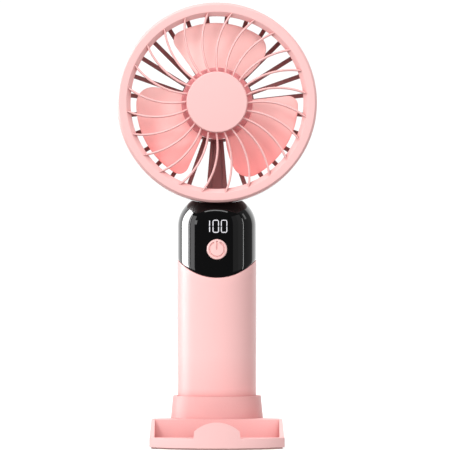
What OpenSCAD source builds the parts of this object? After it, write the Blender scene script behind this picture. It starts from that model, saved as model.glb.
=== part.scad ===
// Handheld electric fan standing in its desk stand.
// Millimetres, +Z up, front towards -Y. The origin is on the handle's axis, on the face the stand rests on.

/* [Head] */
// Outside diameter of the fan head
head_d = 101; // [99:1:103]
// Height of the head's centre above the table
head_z = 173.8; // [173.4:0.2:175]
// Diameter of the air opening in the front ring
opening_d = 87.3; // [86:0.1:88]
// Diameter of the plain cap in the middle of the front grille
cap_d = 30.6; // [29:0.1:31.4]
// Number of curved spokes in the front grille
spoke_count = 24; // [20:1:26]
// Width of a front spoke
spoke_w = 1.15; // [1:0.05:1.4]
// Radius of a front spoke's curve
spoke_curve_r = 36.5; // [33:0.5:44]
// Number of evenly spaced places for the rear bars
rear_bar_count = 28; // [26:2:30]
// Width of a rear bar
rear_bar_w = 2.2; // [1.8:0.1:2.6]

/* [Impeller] */
// Number of blades
blade_count = 3; // [3:1:5]
// Diameter across the blade tips
impeller_d = 82.4; // [78:0.2:84]
// Angle that one blade covers
blade_span = 82; // [60:1:84]
// Height of a blade from its rear edge to its front edge
blade_rise = 11; // [8:0.5:12]
// Diameter of the impeller's hub
hub_d = 36.2; // [35.8:0.2:37]

/* [Neck] */
// Height where the neck's shoulder starts to curve inwards
shoulder_z = 111.6; // [111:0.2:112]
// Radius of the shoulder's curve
shoulder_r = 15.3; // [14:0.1:16]
// Height of the power button's centre
button_z = 99.6; // [99:0.1:100]
// Diameter of the power button
button_d = 10.3; // [9.5:0.1:10.8]
// How far the power button travels
button_travel = 0.6; // [0.4:0.1:0.8]
// Height of the displayed digits
digit_h = 6.6; // [6:0.1:6.8]

/* [Handle] */
// Outside diameter of the handle
handle_d = 40; // [39.6:0.2:40.4]
// Wall of the handle sleeve and neck cover
wall = 1.8; // [1.6:0.1:2]
// Height of the seam's lowest point, at the front
seam_z = 85.3; // [84.5:0.1:87]
// Radius of the seam's curve
seam_r = 26.1; // [25.5:0.1:30]
// Height of the charging port's centre
port_z = 36; // [34:1:40]

/* [Battery] */
// Diameter of the cell
cell_d = 21; // [20:0.5:21]
// Length of the cell
cell_l = 70; // [68:1:70]

/* [Stand] */
// Width of the stand's base
base_w = 68; // [66:1:72]
// Height of the base plate
base_h = 14.2; // [13.8:0.1:14.8]
// Height of the collar's top edge
collar_z = 25.3; // [22:0.1:28]
// Width of the phone slot, front to back
slot_w = 9; // [8:0.5:10]
// Height of the lip in front of the slot
lip_h = 5.6; // [5:0.1:7]
// Height of the tongue that holds the phone
tongue_h = 13.6; // [12.4:0.1:15]
// Width of the tongue at its foot
tongue_w = 24.6; // [20:0.1:28]

/* [Hidden] */

pink = [1, 0.78, 0.77];
pale_pink = [1, 0.82, 0.8];
rose = [0.96, 0.6, 0.6];
maroon = [0.36, 0.2, 0.2];
gloss_black = [0.05, 0.05, 0.06];
white = [0.95, 0.95, 0.97];
steel = [0.7, 0.71, 0.73];
dark_steel = [0.35, 0.36, 0.38];
copper = [0.75, 0.42, 0.22];
brass = [0.8, 0.66, 0.35];
board_green = [0.1, 0.36, 0.2];
chip_black = [0.12, 0.12, 0.13];
frame_grey = [0.8, 0.8, 0.8];
rubber_grey = [0.45, 0.4, 0.4];
cell_blue = [0.2, 0.35, 0.6];

$fn = 96;
eps = 0.01;
far = 80;

head_r = head_d / 2;
opening_r = opening_d / 2;
cap_r = cap_d / 2;
hub_r = hub_d / 2;
tip_r = impeller_d / 2;
handle_r = handle_d / 2;
bore_r = handle_r - wall;
button_r = button_d / 2;
cell_r = cell_d / 2;

// Depths in the head, measured forwards from the head's centre plane
ring_front = 20;
ring_back = 10;
ring_edge = 1.2;
ring_plate = 3;
ring_wall = 1.8;
ring_chamfer = 1.9;
cap_front = 23;
cap_back = 21.4;
spoke_depth = 2.2;
first_spoke = -2.2;
spoke_tip_r = 44.8;
spoke_lag = 7.3;
spoke_tip_front = 19.8;
spoke_root_front = 21.3;
seat_back = 19.2;
seat_r = cap_r + 0.25;
shell_front = 9.75;
shell_rear = -15;
shell_round = 4;
shell_flange = 2.5;
rear_opening_r = 46.3;
drum_wall = 2;
grille_front = -11.6;
grille_rear = -14.4;
seat_disc_r = 19.2;
seat_wall_front = -7;
hub_front = 11;
hub_rear = -5;
first_blade = 85;
blade_t = 1.4;
blade_mid = 2;
blade_bow = 0.9;
rear_tip_round = 11;
front_tip_round = 5.5;
cup_wall = 0.95;
cup_r = hub_r - 1.7;
cup_front = 8.6;
cup_rear = -4.8;
shaft_r = 1;
bearing_gap = 0.02;
bearing_r = 3;
bearing_l = 2.5;
tube_r = 4;
tube_front = 4.5;
tube_flange_r = 8;
tube_flange_front = -10.7;
stator_r = 12.8;
stator_front = 4;
stator_rear = -3;
pole_count = 9;
magnet_r = cup_r - cup_wall - 0.05;
magnet_wall = 1.9;
motor_screw_r = 6;
duct_w_in = 5.4;
duct_w_out = 11.3;
duct_start_r = 11.5;
duct_wall = 0.8;
lead_r = 0.45;
lead_pitch = 1.1;
lead_y = 12.6;
lead_in_r = 13.4;
lead_out_r = 44.3;

// Heights and places in the neck and handle
stem_r = 8;
stem_y = 1;
stem_z = 111.2;
stem_bore_r = 5.5;
saddle_gap = 0.4;
cap_floor_z = 5.3;
sleeve_z = 6.6;
skirt_z = 77;
skirt_r = handle_r - wall - 0.05;
skirt_wall = 1.6;
seam_centre_z = seam_z + seam_r;
seam_gap = 0.2;
skirt_curve_r = seam_r - 3.6;
digit_depth = 0.55;
digit_z = 107.95;
digit_w = 3.3;
digit_stroke = 0.55;
digit_split = 0.3;
board_front = -10.9;
board_t = 1.2;
board_w = 22;
board_z = 86.2;
board_h = 30;
board_screw_x = 9;
board_screw_z = [90.2, 108.4];
board_screw_r = 0.8;
button_front = 20.3;
button_back = -16.1;
flange_r = button_r + 1;
flange_t = 0.8;
plunger_r = 1.6;
plunger_tip = -13.3;
switch_front = -14.2;
cell_z = 9.6;
cradle_r = cell_r + 0.2;
cradle_wall = 1.5;
plate_r = 16.2;
frame_floor_z = 7.8;
frame_top_z = cell_z + cell_l + 0.8;
bridge_z = 109.5;
bridge_t = 1.6;
post_w = 2.5;
plug_depth = 2.4;
battery_plug_z = 88.2;
motor_plug_z = 106.4;
plug_lead_y = board_front + board_t + plug_depth + 0.05;
power_lead_r = 0.6;
port_w = 9.4;
port_h = 3.6;
usb_board_y = cell_r + 0.7;

// Places in the stand
pad_t = 0.8;
socket_r = handle_r + 0.3;
socket_z = 5.2;
collar_top_r = 22.4;
collar_foot_r = 23.5;
slot_back_y = -26;
slot_front_y = slot_back_y - slot_w;
slot_floor = 3.6;
slot_half = base_w / 2 - 2.6;
front_arc_r = 47;
front_arc_y = -4;
base_rear_y = -5;
base_corner_r = 12;
side_taper = 1.2;
tongue_t = 2.5;
tongue_top_r = 16.3;
cover_top = 2.4;
cover_front_y = -24;
pocket_top = 12.2;
stand_screw_r = 0.95;
stand_screw_spots = [[-27, -14], [27, -14], [-10, 12], [10, 12]];

// Draws in the head's own frame: z forwards, y up, from the head's centre
module in_head() {
    translate([0, 0, head_z])
        rotate([90, 0, 0])
            children();
}

// A ring or tube about z, from height a to height b
module tube(outer, inner, a, b) {
    translate([0, 0, a])
        difference() {
            cylinder(r = outer, h = b - a);
            translate([0, 0, -1])
                cylinder(r = inner, h = b - a + 2);
        }
}

// A plain round bar about z, from height a to height b
module bar(r, a, b) {
    translate([0, 0, a])
        cylinder(r = r, h = b - a);
}

// A bar about y, from y = a to y = b
module bar_y(r, a, b) {
    translate([0, b, 0])
        rotate([90, 0, 0])
            cylinder(r = r, h = b - a);
}

// A flat rectangle with round corners, centred
module round_rect(w, h, r) {
    square([w - 2 * r, h], center = true);
    square([w, h - 2 * r], center = true);
    for (x = [-1, 1], y = [-1, 1])
        translate([x * (w / 2 - r), y * (h / 2 - r)])
            circle(r = r, $fn = 32);
}

// A box from one corner to the opposite one
module box(low, high) {
    translate(low)
        cube(high - low);
}

// A wire through a list of points, with a round joint at each bend
module wire(points, r) {
    for (i = [0 : len(points) - 2]) {
        run = points[i + 1] - points[i];
        translate(points[i])
            rotate([0, acos(run[2] / norm(run)), atan2(run[1], run[0])])
                cylinder(r = r, h = norm(run), $fn = 24);
    }
    for (i = [1 : len(points) - 2])
        translate(points[i])
            sphere(r = r + 0.08, $fn = 24);
}

// A screw along z: its head sits from z = 0 down, its shank goes up
module screw(shank_r, length, screw_head_r, screw_head_h) {
    translate([0, 0, -eps])
        cylinder(r = shank_r, h = length + eps, $fn = 24);
    translate([0, 0, -screw_head_h])
        difference() {
            cylinder(r = screw_head_r, h = screw_head_h, $fn = 32);
            for (a = [0, 90])
                rotate(a)
                    translate([-screw_head_r * 0.6, -0.15, -1])
                        cube([screw_head_r * 1.2, 0.3, 1 + screw_head_h * 0.5]);
        }
}

/* ---- Head ---- */

// One curved spoke, drawn from the hub at angle 0 to the ring
module spoke() {
    root = [cap_r - 1.2, 0];
    tip = spoke_tip_r * [cos(spoke_lag), -sin(spoke_lag)];
    chord = tip - root;
    half = norm(chord) / 2;
    away = [chord[1], -chord[0]] / norm(chord);
    centre = (root + tip) / 2 + away * sqrt(spoke_curve_r * spoke_curve_r - half * half);
    tip_angle = atan2(tip[1] - centre[1], tip[0] - centre[0]);
    sweep = 2 * asin(half / spoke_curve_r);
    tilt = atan((spoke_root_front - spoke_tip_front) / (tip[0] - root[0]));
    translate([0, 0, spoke_tip_front - spoke_depth + tip[0] * sin(tilt)])
        rotate([0, tilt, 0])
            translate([centre[0], centre[1], 0])
                rotate(tip_angle)
                    rotate_extrude(angle = sweep, $fn = 120)
                        translate([spoke_curve_r - spoke_w / 2, 0])
                            square([spoke_w, spoke_depth]);
}

// Front ring's section: a face plate with a chamfered inner edge, and an outer wall
module front_ring_section() {
    difference() {
        translate([opening_r, ring_back])
            square([head_r - opening_r, ring_front - ring_back]);
        translate([head_r - ring_edge, ring_front - ring_edge])
            difference() {
                square(ring_edge + 1);
                circle(r = ring_edge, $fn = 48);
            }
        translate([opening_r - 1, ring_back - 1])
            square([head_r - ring_wall - opening_r + 1, ring_front - ring_plate - ring_back + 1]);
        polygon([
            [opening_r - 1, ring_front - ring_chamfer - 1],
            [opening_r + ring_chamfer + 1, ring_front + 1],
            [opening_r - 1, ring_front + 1]
        ]);
    }
}

module front_grille() {
    color(pink)
        in_head()
            difference() {
                union() {
                    rotate_extrude()
                        front_ring_section();
                    for (i = [0 : spoke_count - 1])
                        rotate(360 / spoke_count * i + first_spoke)
                            spoke();
                    bar(seat_r, seat_back, cap_back - 0.05);
                }
                bar(seat_r + 0.01, cap_back - 0.05, ring_front + 6);
                bar(cap_r - 3, seat_back + 0.8, ring_front + 6);
            }
}

module centre_cap() {
    edge = 0.6;
    color(pale_pink)
        in_head() {
            rotate_extrude()
                difference() {
                    translate([0, cap_back])
                        square([cap_r, cap_front - cap_back]);
                    translate([cap_r - edge, cap_front - edge])
                        difference() {
                            square(edge + 1);
                            circle(r = edge, $fn = 32);
                        }
                }
            tube(cap_r - 3.1, cap_r - 4.5, seat_back + 0.9, cap_back + eps);
        }
}

// Rear shell's section: the drum, its rounded rear edge and the lip that enters the front ring
module drum_section() {
    lip_r = head_r - ring_wall - 0.3;
    difference() {
        translate([rear_opening_r, shell_rear])
            square([head_r - rear_opening_r, shell_front - shell_rear]);
        translate([head_r - shell_round, shell_rear + shell_round])
            mirror([0, 1])
                difference() {
                    square(shell_round + 1);
                    circle(r = shell_round, $fn = 48);
                }
        translate([rear_opening_r - 1, shell_rear + shell_flange])
            square([head_r - drum_wall - rear_opening_r + 1, far]);
    }
    translate([lip_r - 1.6, shell_front - 3])
        square([1.6, 6.5]);
    translate([lip_r - 1.6, shell_front - 3])
        square([2.4, 3]);
}

// Stem under the head: it carries the head in the neck, and the motor's wires pass through it
module rear_shell() {
    drum_floor = head_z - head_r;
    color(pink)
        difference() {
            union() {
                in_head()
                    rotate_extrude()
                        drum_section();
                translate([0, stem_y, 0])
                    bar(stem_r, stem_z, drum_floor + 1.2);
            }
            translate([0, stem_y, 0])
                bar(stem_bore_r, stem_z - 1, drum_floor + 5);
            for (x = [-1, 1])
                translate([x * (stem_r + stem_bore_r) / 2, stem_y, 0])
                    bar(board_screw_r, stem_z - 1, stem_z + 5.2);
        }
}

// Outline of the wire duct, widening from the hub to the rim and drawn in from its edge by inset
module duct_outline(inset) {
    inner = duct_start_r + inset;
    outer = rear_opening_r - 0.6 - inset;
    polygon([
        [-duct_w_in / 2 + inset, -inner],
        [duct_w_in / 2 - inset, -inner],
        [duct_w_out / 2 - inset, -outer],
        [-duct_w_out / 2 + inset, -outer]
    ]);
}

module rear_grille() {
    middle = rear_bar_count / 2;
    bar_end_r = rear_opening_r - 0.2;
    rim_rear = shell_rear + shell_flange + 0.1;
    color(maroon)
        in_head()
            difference() {
                union() {
                    translate([0, 0, grille_rear])
                        linear_extrude(grille_front - grille_rear) {
                            circle(r = seat_disc_r);
                            for (i = [0 : rear_bar_count - 1])
                                if (i != middle && i != middle - 1)
                                    rotate(90 + 360 / rear_bar_count * (i + 0.5))
                                        translate([0, -rear_bar_w / 2])
                                            square([bar_end_r, rear_bar_w]);
                        }
                    translate([0, 0, grille_rear])
                        linear_extrude(grille_front - grille_rear + 0.8)
                            duct_outline(0);
                    tube(head_r - drum_wall - 0.15, bar_end_r - 0.6, rim_rear, rim_rear + 2);
                    tube(seat_disc_r - 0.3, seat_disc_r - 1.5, grille_rear + 1, seat_wall_front);
                }
                translate([0, 0, grille_rear - 1])
                    linear_extrude(grille_front - grille_rear + 0.7)
                        duct_outline(duct_wall);
                for (r = [lead_in_r, lead_out_r + 0.3])
                    translate([0, -r, -lead_y + 1.5])
                        cube([2 * lead_pitch + 1.4, 1.8, 4], center = true);
                for (x = [-1, 1])
                    translate([0, 0, grille_front + 0.35])
                        linear_extrude(2)
                            polygon([
                                [x * 1.4, -seat_disc_r - 0.5],
                                [x * 2, -seat_disc_r - 0.5],
                                [x * 2.9, -bar_end_r + 1.5],
                                [x * 2.2, -bar_end_r + 1.5]
                            ]);
                bar(tube_r + 0.05, grille_front - 0.8, 0);
                for (i = [0 : 2])
                    rotate(120 * i + 30)
                        translate([motor_screw_r, 0, 0])
                            bar(board_screw_r, grille_rear + 0.6, 0);
            }
}

module duct_cover() {
    color(maroon)
        in_head()
            translate([0, 0, grille_rear])
                linear_extrude(0.9)
                    duct_outline(duct_wall + 0.05);
}

/* ---- Impeller and motor ---- */

// A blade's height and tip radius at u, which runs from -1 at the rear edge to 1 at the front edge
function blade_z(u) = blade_mid + blade_rise / 2 * u + blade_bow * (1 - u * u);
function blade_tip(u) =
    let (
        round_r = u < 0 ? rear_tip_round : front_tip_round,
        reach = tip_r * blade_span / 2 * PI / 180 * (1 - abs(u))
    )
    reach >= round_r ? tip_r : tip_r - round_r + sqrt(round_r * round_r - pow(round_r - reach, 2));

// One twisted blade: straight from root to tip, and climbing round the hub
module blade() {
    steps = 20;
    root_r = hub_r - 0.8;
    places = [for (i = [0 : steps]) sin(-90 + 180 * i / steps)];
    points = [
        for (side = [-0.5, 0.5], u = places, at_tip = [0, 1])
            let (r = at_tip == 1 ? blade_tip(u) : root_r, a = u * blade_span / 2)
            [r * cos(a), r * sin(a), blade_z(u) + side * blade_t]
    ];
    top = 2 * (steps + 1);
    faces = [
        for (i = [0 : steps - 1])
            let (a = 2 * i, b = a + 1, c = a + 2, d = a + 3)
            each [
                [a, b, d], [a, d, c],
                [top + a, top + d, top + b], [top + a, top + c, top + d],
                [a, top + c, top + a], [a, c, top + c],
                [b, top + b, top + d], [b, top + d, d]
            ],
        [0, top, top + 1], [0, top + 1, 1],
        [top - 2, 2 * top - 1, 2 * top - 2], [top - 2, top - 1, 2 * top - 1]
    ];
    polyhedron(points, faces);
}

module impeller() {
    color(rose)
        in_head()
            difference() {
                union() {
                    rotate_extrude()
                        difference() {
                            translate([0, hub_rear])
                                square([hub_r, hub_front - hub_rear]);
                            translate([hub_r - 1, hub_front - 1])
                                difference() {
                                    square(2);
                                    circle(r = 1, $fn = 32);
                                }
                            translate([-1, hub_rear - 1])
                                square([cup_r + 1, cup_front - hub_rear + 1]);
                        }
                    for (i = [0 : blade_count - 1])
                        rotate(first_blade + 360 / blade_count * i)
                            blade();
                }
                bar(shaft_r, 0, hub_front - 0.7);
            }
}

module rotor_cup() {
    color(steel)
        in_head() {
            tube(cup_r, cup_r - cup_wall, cup_rear, cup_front - 1 + eps);
            tube(cup_r, shaft_r, cup_front - 1, cup_front);
            tube(2.6, shaft_r, tube_front + 0.7, cup_front - 1 + eps);
        }
}

module magnet_ring() {
    color(dark_steel)
        in_head()
            tube(magnet_r, magnet_r - magnet_wall, stator_rear - 1, stator_front + 1);
}

module motor_shaft() {
    color(steel)
        in_head()
            bar(shaft_r, tube_flange_front + 0.4, hub_front - 0.7);
}

module front_bearing() {
    color(brass)
        in_head()
            tube(bearing_r, shaft_r + bearing_gap, tube_front - bearing_l, tube_front);
}

module rear_bearing() {
    color(brass)
        in_head()
            tube(
                bearing_r,
                shaft_r + bearing_gap,
                tube_flange_front + 1,
                tube_flange_front + 1 + bearing_l
            );
}

module bearing_tube() {
    color(brass)
        in_head()
            difference() {
                union() {
                    bar(tube_r, grille_front - 0.7, tube_front);
                    bar(tube_flange_r, grille_front, tube_flange_front);
                }
                bar(bearing_r, tube_flange_front, tube_front + 1);
                for (i = [0 : 2])
                    rotate(120 * i + 30)
                        translate([motor_screw_r, 0, 0])
                            bar(0.95, grille_front - 1, 0);
            }
}

// Laminated core: an inner ring, an arm for each coil, and the shoes that face the magnets
module stator_core() {
    pitch = 360 / pole_count;
    color(dark_steel)
        in_head()
            translate([0, 0, stator_rear])
                linear_extrude(stator_front - stator_rear)
                    difference() {
                        union() {
                            circle(r = 6.2);
                            difference() {
                                circle(r = stator_r);
                                circle(r = stator_r - 1.5);
                                for (i = [0 : pole_count - 1])
                                    rotate(pitch * (i + 0.5))
                                        translate([0, -0.7])
                                            square([far, 1.4]);
                            }
                            for (i = [0 : pole_count - 1])
                                rotate(pitch * i)
                                    translate([0, -0.9])
                                        square([stator_r - 1, 1.8]);
                        }
                        circle(r = tube_r + 0.02);
                    }
}

module stator_coils() {
    color(copper)
        in_head()
            for (i = [0 : pole_count - 1])
                rotate(360 / pole_count * i)
                    difference() {
                        box([6.5, -2.05, stator_rear - 1.4], [11.1, 2.05, stator_front + 1.4]);
                        box([6, -0.95, stator_rear - 0.05], [12, 0.95, stator_front + 0.05]);
                    }
}

module motor_board() {
    color(board_green)
        in_head()
            difference() {
                tube(14, tube_r + 0.1, -8.6, -7.6);
                for (i = [0 : 2])
                    rotate(120 * i + 30)
                        translate([motor_screw_r, 0, 0])
                            bar(1.8, -10, 0);
            }
}

module motor_screws() {
    color(steel)
        in_head()
            for (i = [0 : 2])
                rotate(120 * i + 30)
                    translate([motor_screw_r, 0, tube_flange_front])
                        mirror([0, 0, 1])
                            screw(0.75, 3, 1.5, 0.9);
}

// Three wires from the motor's board, down the duct, through the stem and to the main board
module motor_lead() {
    stem_lead_y = stem_y + 3.4;
    color(white)
        for (k = [-lead_pitch, 0, lead_pitch])
            wire([
                [k, 8.65, head_z - lead_in_r],
                [k, lead_y, head_z - lead_in_r],
                [k, lead_y, head_z - lead_out_r],
                [k, stem_lead_y, head_z - lead_out_r - 1.8],
                [k, stem_lead_y, bridge_z - 1.4],
                [k, plug_lead_y, motor_plug_z + 1.3]
            ], lead_r);
}

/* ---- Neck ---- */

// The neck's outside, or with inset its inside: a cylinder with a round shoulder
module neck_form(inset) {
    centre = handle_r - shoulder_r;
    rotate_extrude() {
        translate([0, skirt_z - 5])
            square([handle_r - inset, shoulder_z - skirt_z + 5]);
        translate([0, shoulder_z - eps])
            square([centre, shoulder_r - inset + eps]);
        intersection() {
            translate([centre, shoulder_z])
                circle(r = shoulder_r - inset);
            translate([centre - eps, shoulder_z - eps])
                square(far);
        }
    }
}

// Everything above a seam that runs front to back as an arc
module above_seam(r) {
    translate([0, 0, seam_centre_z])
        bar_y(r, -far, far);
    box([-far, -far, seam_centre_z], [far, far, 2 * far + seam_centre_z]);
}

// Digits "100" as lit segments, facing the front, with z at mid height
module digit_segments() {
    bar_h = digit_h / 2 - 0.4;
    for (s = [-1, 1])
        translate([-3.7, s * (bar_h + digit_split) / 2])
            square([digit_stroke, bar_h], center = true);
    for (x = [-0.6, 3.6])
        translate([x, 0])
            difference() {
                round_rect(digit_w, digit_h, 1.1);
                round_rect(digit_w - 2 * digit_stroke, digit_h - 2 * digit_stroke, 0.4);
                square([digit_w + 1, digit_split], center = true);
            }
}

// The digits as thin solids in the neck's front wall
module digit_solids() {
    intersection() {
        translate([0, 0, digit_z + digit_h / 2])
            rotate([90, 0, 0])
                linear_extrude(far)
                    digit_segments();
        tube(handle_r, handle_r - digit_depth, digit_z - 5, digit_z + digit_h + 1);
    }
}

module neck_cover() {
    color(gloss_black)
        difference() {
            union() {
                intersection() {
                    neck_form(0);
                    above_seam(seam_r - seam_gap);
                }
                bar(skirt_r, skirt_z, seam_centre_z - skirt_curve_r / 3);
            }
            bar(skirt_r - skirt_wall, skirt_z - 1, seam_centre_z);
            difference() {
                intersection() {
                    neck_form(wall);
                    above_seam(skirt_curve_r);
                }
                in_head()
                    cylinder(r = head_r + saddle_gap + wall, h = 2 * far, center = true);
            }
            in_head()
                cylinder(r = head_r + saddle_gap, h = 2 * far, center = true);
            translate([0, stem_y, 0])
                bar(stem_r + 0.2, stem_z, head_z);
            translate([0, 0, button_z])
                bar_y(button_r + 0.15, -far, -10);
            digit_solids();
        }
}

module display_digits() {
    color(white)
        digit_solids();
}

module display_module() {
    color(chip_black)
        box([-7, -16.2, digit_z - 1], [7, board_front, digit_z + digit_h + 0.6]);
}

module button_cap() {
    symbol_r = 3.7;
    groove = 0.5;
    color(pale_pink)
        difference() {
            union() {
                intersection() {
                    translate([0, 0, button_z])
                        bar_y(button_r, -far, button_back);
                    bar(button_front, button_z - 10, button_z + 10);
                }
                translate([0, 0, button_z])
                    bar_y(flange_r, button_back - flange_t, button_back);
            }
            difference() {
                translate([0, 0, button_z])
                    rotate([90, 0, 0])
                        linear_extrude(far) {
                            difference() {
                                circle(r = symbol_r + groove / 2);
                                circle(r = symbol_r - groove / 2);
                                polygon([[0, 0], [-2.4, 6], [2.4, 6]]);
                            }
                            translate([-groove / 2, 0])
                                square([groove, symbol_r + 0.2]);
                        }
                bar(button_front - 0.35, button_z - 10, button_z + 10);
            }
        }
}

module switch_plunger() {
    color(chip_black)
        translate([0, 0, button_z])
            bar_y(plunger_r, button_back, plunger_tip);
}

module tact_switch() {
    color(steel)
        difference() {
            box([-3, switch_front, button_z - 3], [3, board_front, button_z + 3]);
            translate([0, 0, button_z])
                bar_y(plunger_r + 0.08, switch_front - 1, plunger_tip + button_travel + 0.5);
        }
}

module main_board() {
    color(board_green)
        difference() {
            box(
                [-board_w / 2, board_front, board_z],
                [board_w / 2, board_front + board_t, board_z + board_h]
            );
            for (x = [-1, 1], z = board_screw_z)
                translate([x * board_screw_x, 0, z])
                    bar_y(board_screw_r + 0.1, -far, 0);
        }
}

// Control chip, charging chip, coil, capacitors and lead connector on the back of the board
module board_components() {
    back = board_front + board_t;
    color(chip_black) {
        box([-6, back, board_z + 14.5], [-1, back + 1, board_z + 19.5]);
        box([1.5, back, board_z + 15], [5.5, back + 1, board_z + 19]);
        translate([-3, 0, board_z + 7.5])
            bar_y(2.8, back, back + 2.6);
    }
    color(brass)
        for (i = [0 : 2])
            box([1.5 + 2 * i, back, board_z + 10], [2.7 + 2 * i, back + 0.9, board_z + 12]);
    color(white) {
        box([1, back, battery_plug_z], [7.5, back + plug_depth, battery_plug_z + 5]);
        box([-2.6, back, motor_plug_z], [2.6, back + plug_depth, motor_plug_z + 2.6]);
    }
}

module board_screws() {
    color(steel)
        for (x = [-1, 1], z = board_screw_z)
            translate([x * board_screw_x, board_front, z])
                rotate([-90, 0, 0])
                    screw(board_screw_r - 0.05, 3.4, 1.4, 0.9);
}

/* ---- Handle ---- */

// Carrier inside the handle: a cradle for the cell, posts for the board and a bridge for the head's stem
module inner_frame() {
    post_back = board_front + board_t + 3;
    color(frame_grey)
        difference() {
            union() {
                difference() {
                    bar(cradle_r + cradle_wall, frame_floor_z, frame_top_z + 1.5);
                    bar(cradle_r, cell_z - 0.6, frame_top_z);
                    box([-far, -1, cell_z - 0.6], [far, far, frame_top_z]);
                }
                for (z = [frame_floor_z, frame_top_z])
                    bar(plate_r, z, z + 1.2);
                for (z = [28, 56])
                    difference() {
                        tube(skirt_r - skirt_wall - 0.2, cradle_r + cradle_wall - eps, z, z + 1.4);
                        box([-far, -1, 0], [far, far, far]);
                    }
                for (x = [-1, 1])
                    translate([x * board_screw_x, 0, 0])
                        box([-post_w / 2, board_front + board_t, frame_top_z],
                            [post_w / 2, post_back, bridge_z + bridge_t]);
                box([-board_screw_x - post_w / 2, board_front + board_t, bridge_z],
                    [board_screw_x + post_w / 2, 9, bridge_z + bridge_t]);
            }
            for (x = [-1, 1], z = board_screw_z)
                translate([x * board_screw_x, 0, z])
                    bar_y(board_screw_r - 0.05, -far, post_back - 0.4);
            for (x = [-1, 1])
                translate([x * (stem_r + stem_bore_r) / 2, stem_y, 0])
                    bar(board_screw_r + 0.1, bridge_z - 1, bridge_z + 3);
            translate([0, stem_y, 0])
                bar(4.6, bridge_z - 1, bridge_z + 3);
            box([-7.4, 9.5, frame_floor_z - 1], [7.4, far, frame_top_z + 3]);
            box([-6, 2, frame_top_z - 1], [6, 7, frame_top_z + 3]);
        }
}

module stem_screws() {
    color(steel)
        for (x = [-1, 1])
            translate([x * (stem_r + stem_bore_r) / 2, stem_y, bridge_z])
                screw(board_screw_r - 0.02, 6, 1.5, 0.9);
}

module battery_cell() {
    color(cell_blue) {
        bar(cell_r, cell_z, cell_z + cell_l - 0.4);
        bar(4.5, cell_z + cell_l - 0.4 - eps, cell_z + cell_l);
    }
}

// Nickel strips welded to the cell's ends, each bent up at the back for its lead
module battery_tabs() {
    strip = 0.2;
    out_y = cell_r + 0.45;
    top = cell_z + cell_l;
    color(steel) {
        box([-2.5, -4, top], [2.5, out_y, top + strip]);
        box([-2.5, out_y - strip, top - 5], [2.5, out_y, top + strip]);
        box([-2.5, -4, cell_z - strip], [2.5, out_y, cell_z]);
        box([-2.5, out_y - strip, cell_z - strip], [2.5, out_y, cell_z + 6]);
    }
}

module battery_leads() {
    strip_y = cell_r + 1.1;
    plug_z = battery_plug_z - 0.6;
    color("firebrick")
        wire([
            [2, strip_y, cell_z + cell_l - 4],
            [2, strip_y, plug_z],
            [3, plug_lead_y, plug_z + 2]
        ], power_lead_r);
    color("black")
        wire([
            [-2, strip_y, cell_z + 4],
            [-10, 9, cell_z + 13],
            [-10, 9, port_z + 14],
            [-3.6, 11.8, port_z + 24],
            [-3.6, 11.8, plug_z],
            [-3.6, 8, plug_z + 3],
            [3, plug_lead_y, plug_z + 4.3]
        ], power_lead_r);
}

module handle_sleeve() {
    color(pink)
        difference() {
            tube(handle_r, bore_r, sleeve_z, seam_centre_z);
            above_seam(seam_r);
            translate([0, 0, port_z])
                rotate([-90, 0, 0])
                    linear_extrude(far)
                        round_rect(port_w, port_h, port_h / 2 - eps);
        }
}

module bottom_cap() {
    edge = 0.8;
    color(pink) {
        rotate_extrude()
            difference() {
                translate([0, cap_floor_z])
                    square([handle_r, sleeve_z - cap_floor_z]);
                translate([handle_r - edge, cap_floor_z + edge])
                    mirror([0, 1])
                        difference() {
                            square(edge + 1);
                            circle(r = edge, $fn = 32);
                        }
            }
        tube(bore_r - 0.05, plate_r + 0.2, sleeve_z - eps, sleeve_z + 4);
    }
}

module usb_board() {
    color(board_green)
        box([-8, usb_board_y, port_z - 8], [8, usb_board_y + 1, port_z + 9]);
}

// Charging socket: a drawn metal shell with a contact tongue
module usb_receptacle() {
    front = handle_r - 1.1;
    back = usb_board_y + 1;
    color(steel)
        translate([0, front, port_z])
            rotate([90, 0, 0])
                difference() {
                    linear_extrude(front - back)
                        round_rect(8.94, 3.16, 1.5);
                    translate([0, 0, -1])
                        linear_extrude(front - back)
                            difference() {
                                round_rect(8.34, 2.56, 1.2);
                                square([6.7, 0.7], center = true);
                            }
                }
}

module usb_leads() {
    start_y = usb_board_y + 1 + power_lead_r + 0.1;
    color("firebrick")
        wire([
            [4.2, start_y, port_z + 7],
            [4.2, start_y, battery_plug_z + 2],
            [5.3, plug_lead_y, battery_plug_z + 0.9]
        ], power_lead_r);
    color("black")
        wire([
            [6.2, start_y, port_z + 7],
            [6.2, start_y, battery_plug_z + 5],
            [6.2, plug_lead_y, battery_plug_z + 3.6]
        ], power_lead_r);
}

/* ---- Stand ---- */

// Outline of the stand, drawn in from its edge by inset
module base_outline(inset) {
    front_half = base_w / 2 - inset;
    rear_half = front_half - side_taper;
    rear_y = base_rear_y - inset;
    difference() {
        intersection() {
            polygon([
                [-front_half, -far],
                [front_half, -far],
                [front_half, slot_front_y - 4],
                [rear_half, slot_back_y + 4],
                [rear_half, rear_y],
                [-rear_half, rear_y],
                [-rear_half, slot_back_y + 4],
                [-front_half, slot_front_y - 4]
            ]);
            translate([0, front_arc_y])
                circle(r = front_arc_r - inset, $fn = 192);
        }
        for (s = [-1, 1])
            translate([s * (base_w / 2 - side_taper - base_corner_r), base_rear_y - base_corner_r])
                mirror([s < 0 ? 1 : 0, 0])
                    difference() {
                        square(base_corner_r + 1);
                        circle(r = base_corner_r - inset);
                    }
    }
    circle(r = collar_foot_r - inset);
}

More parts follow.
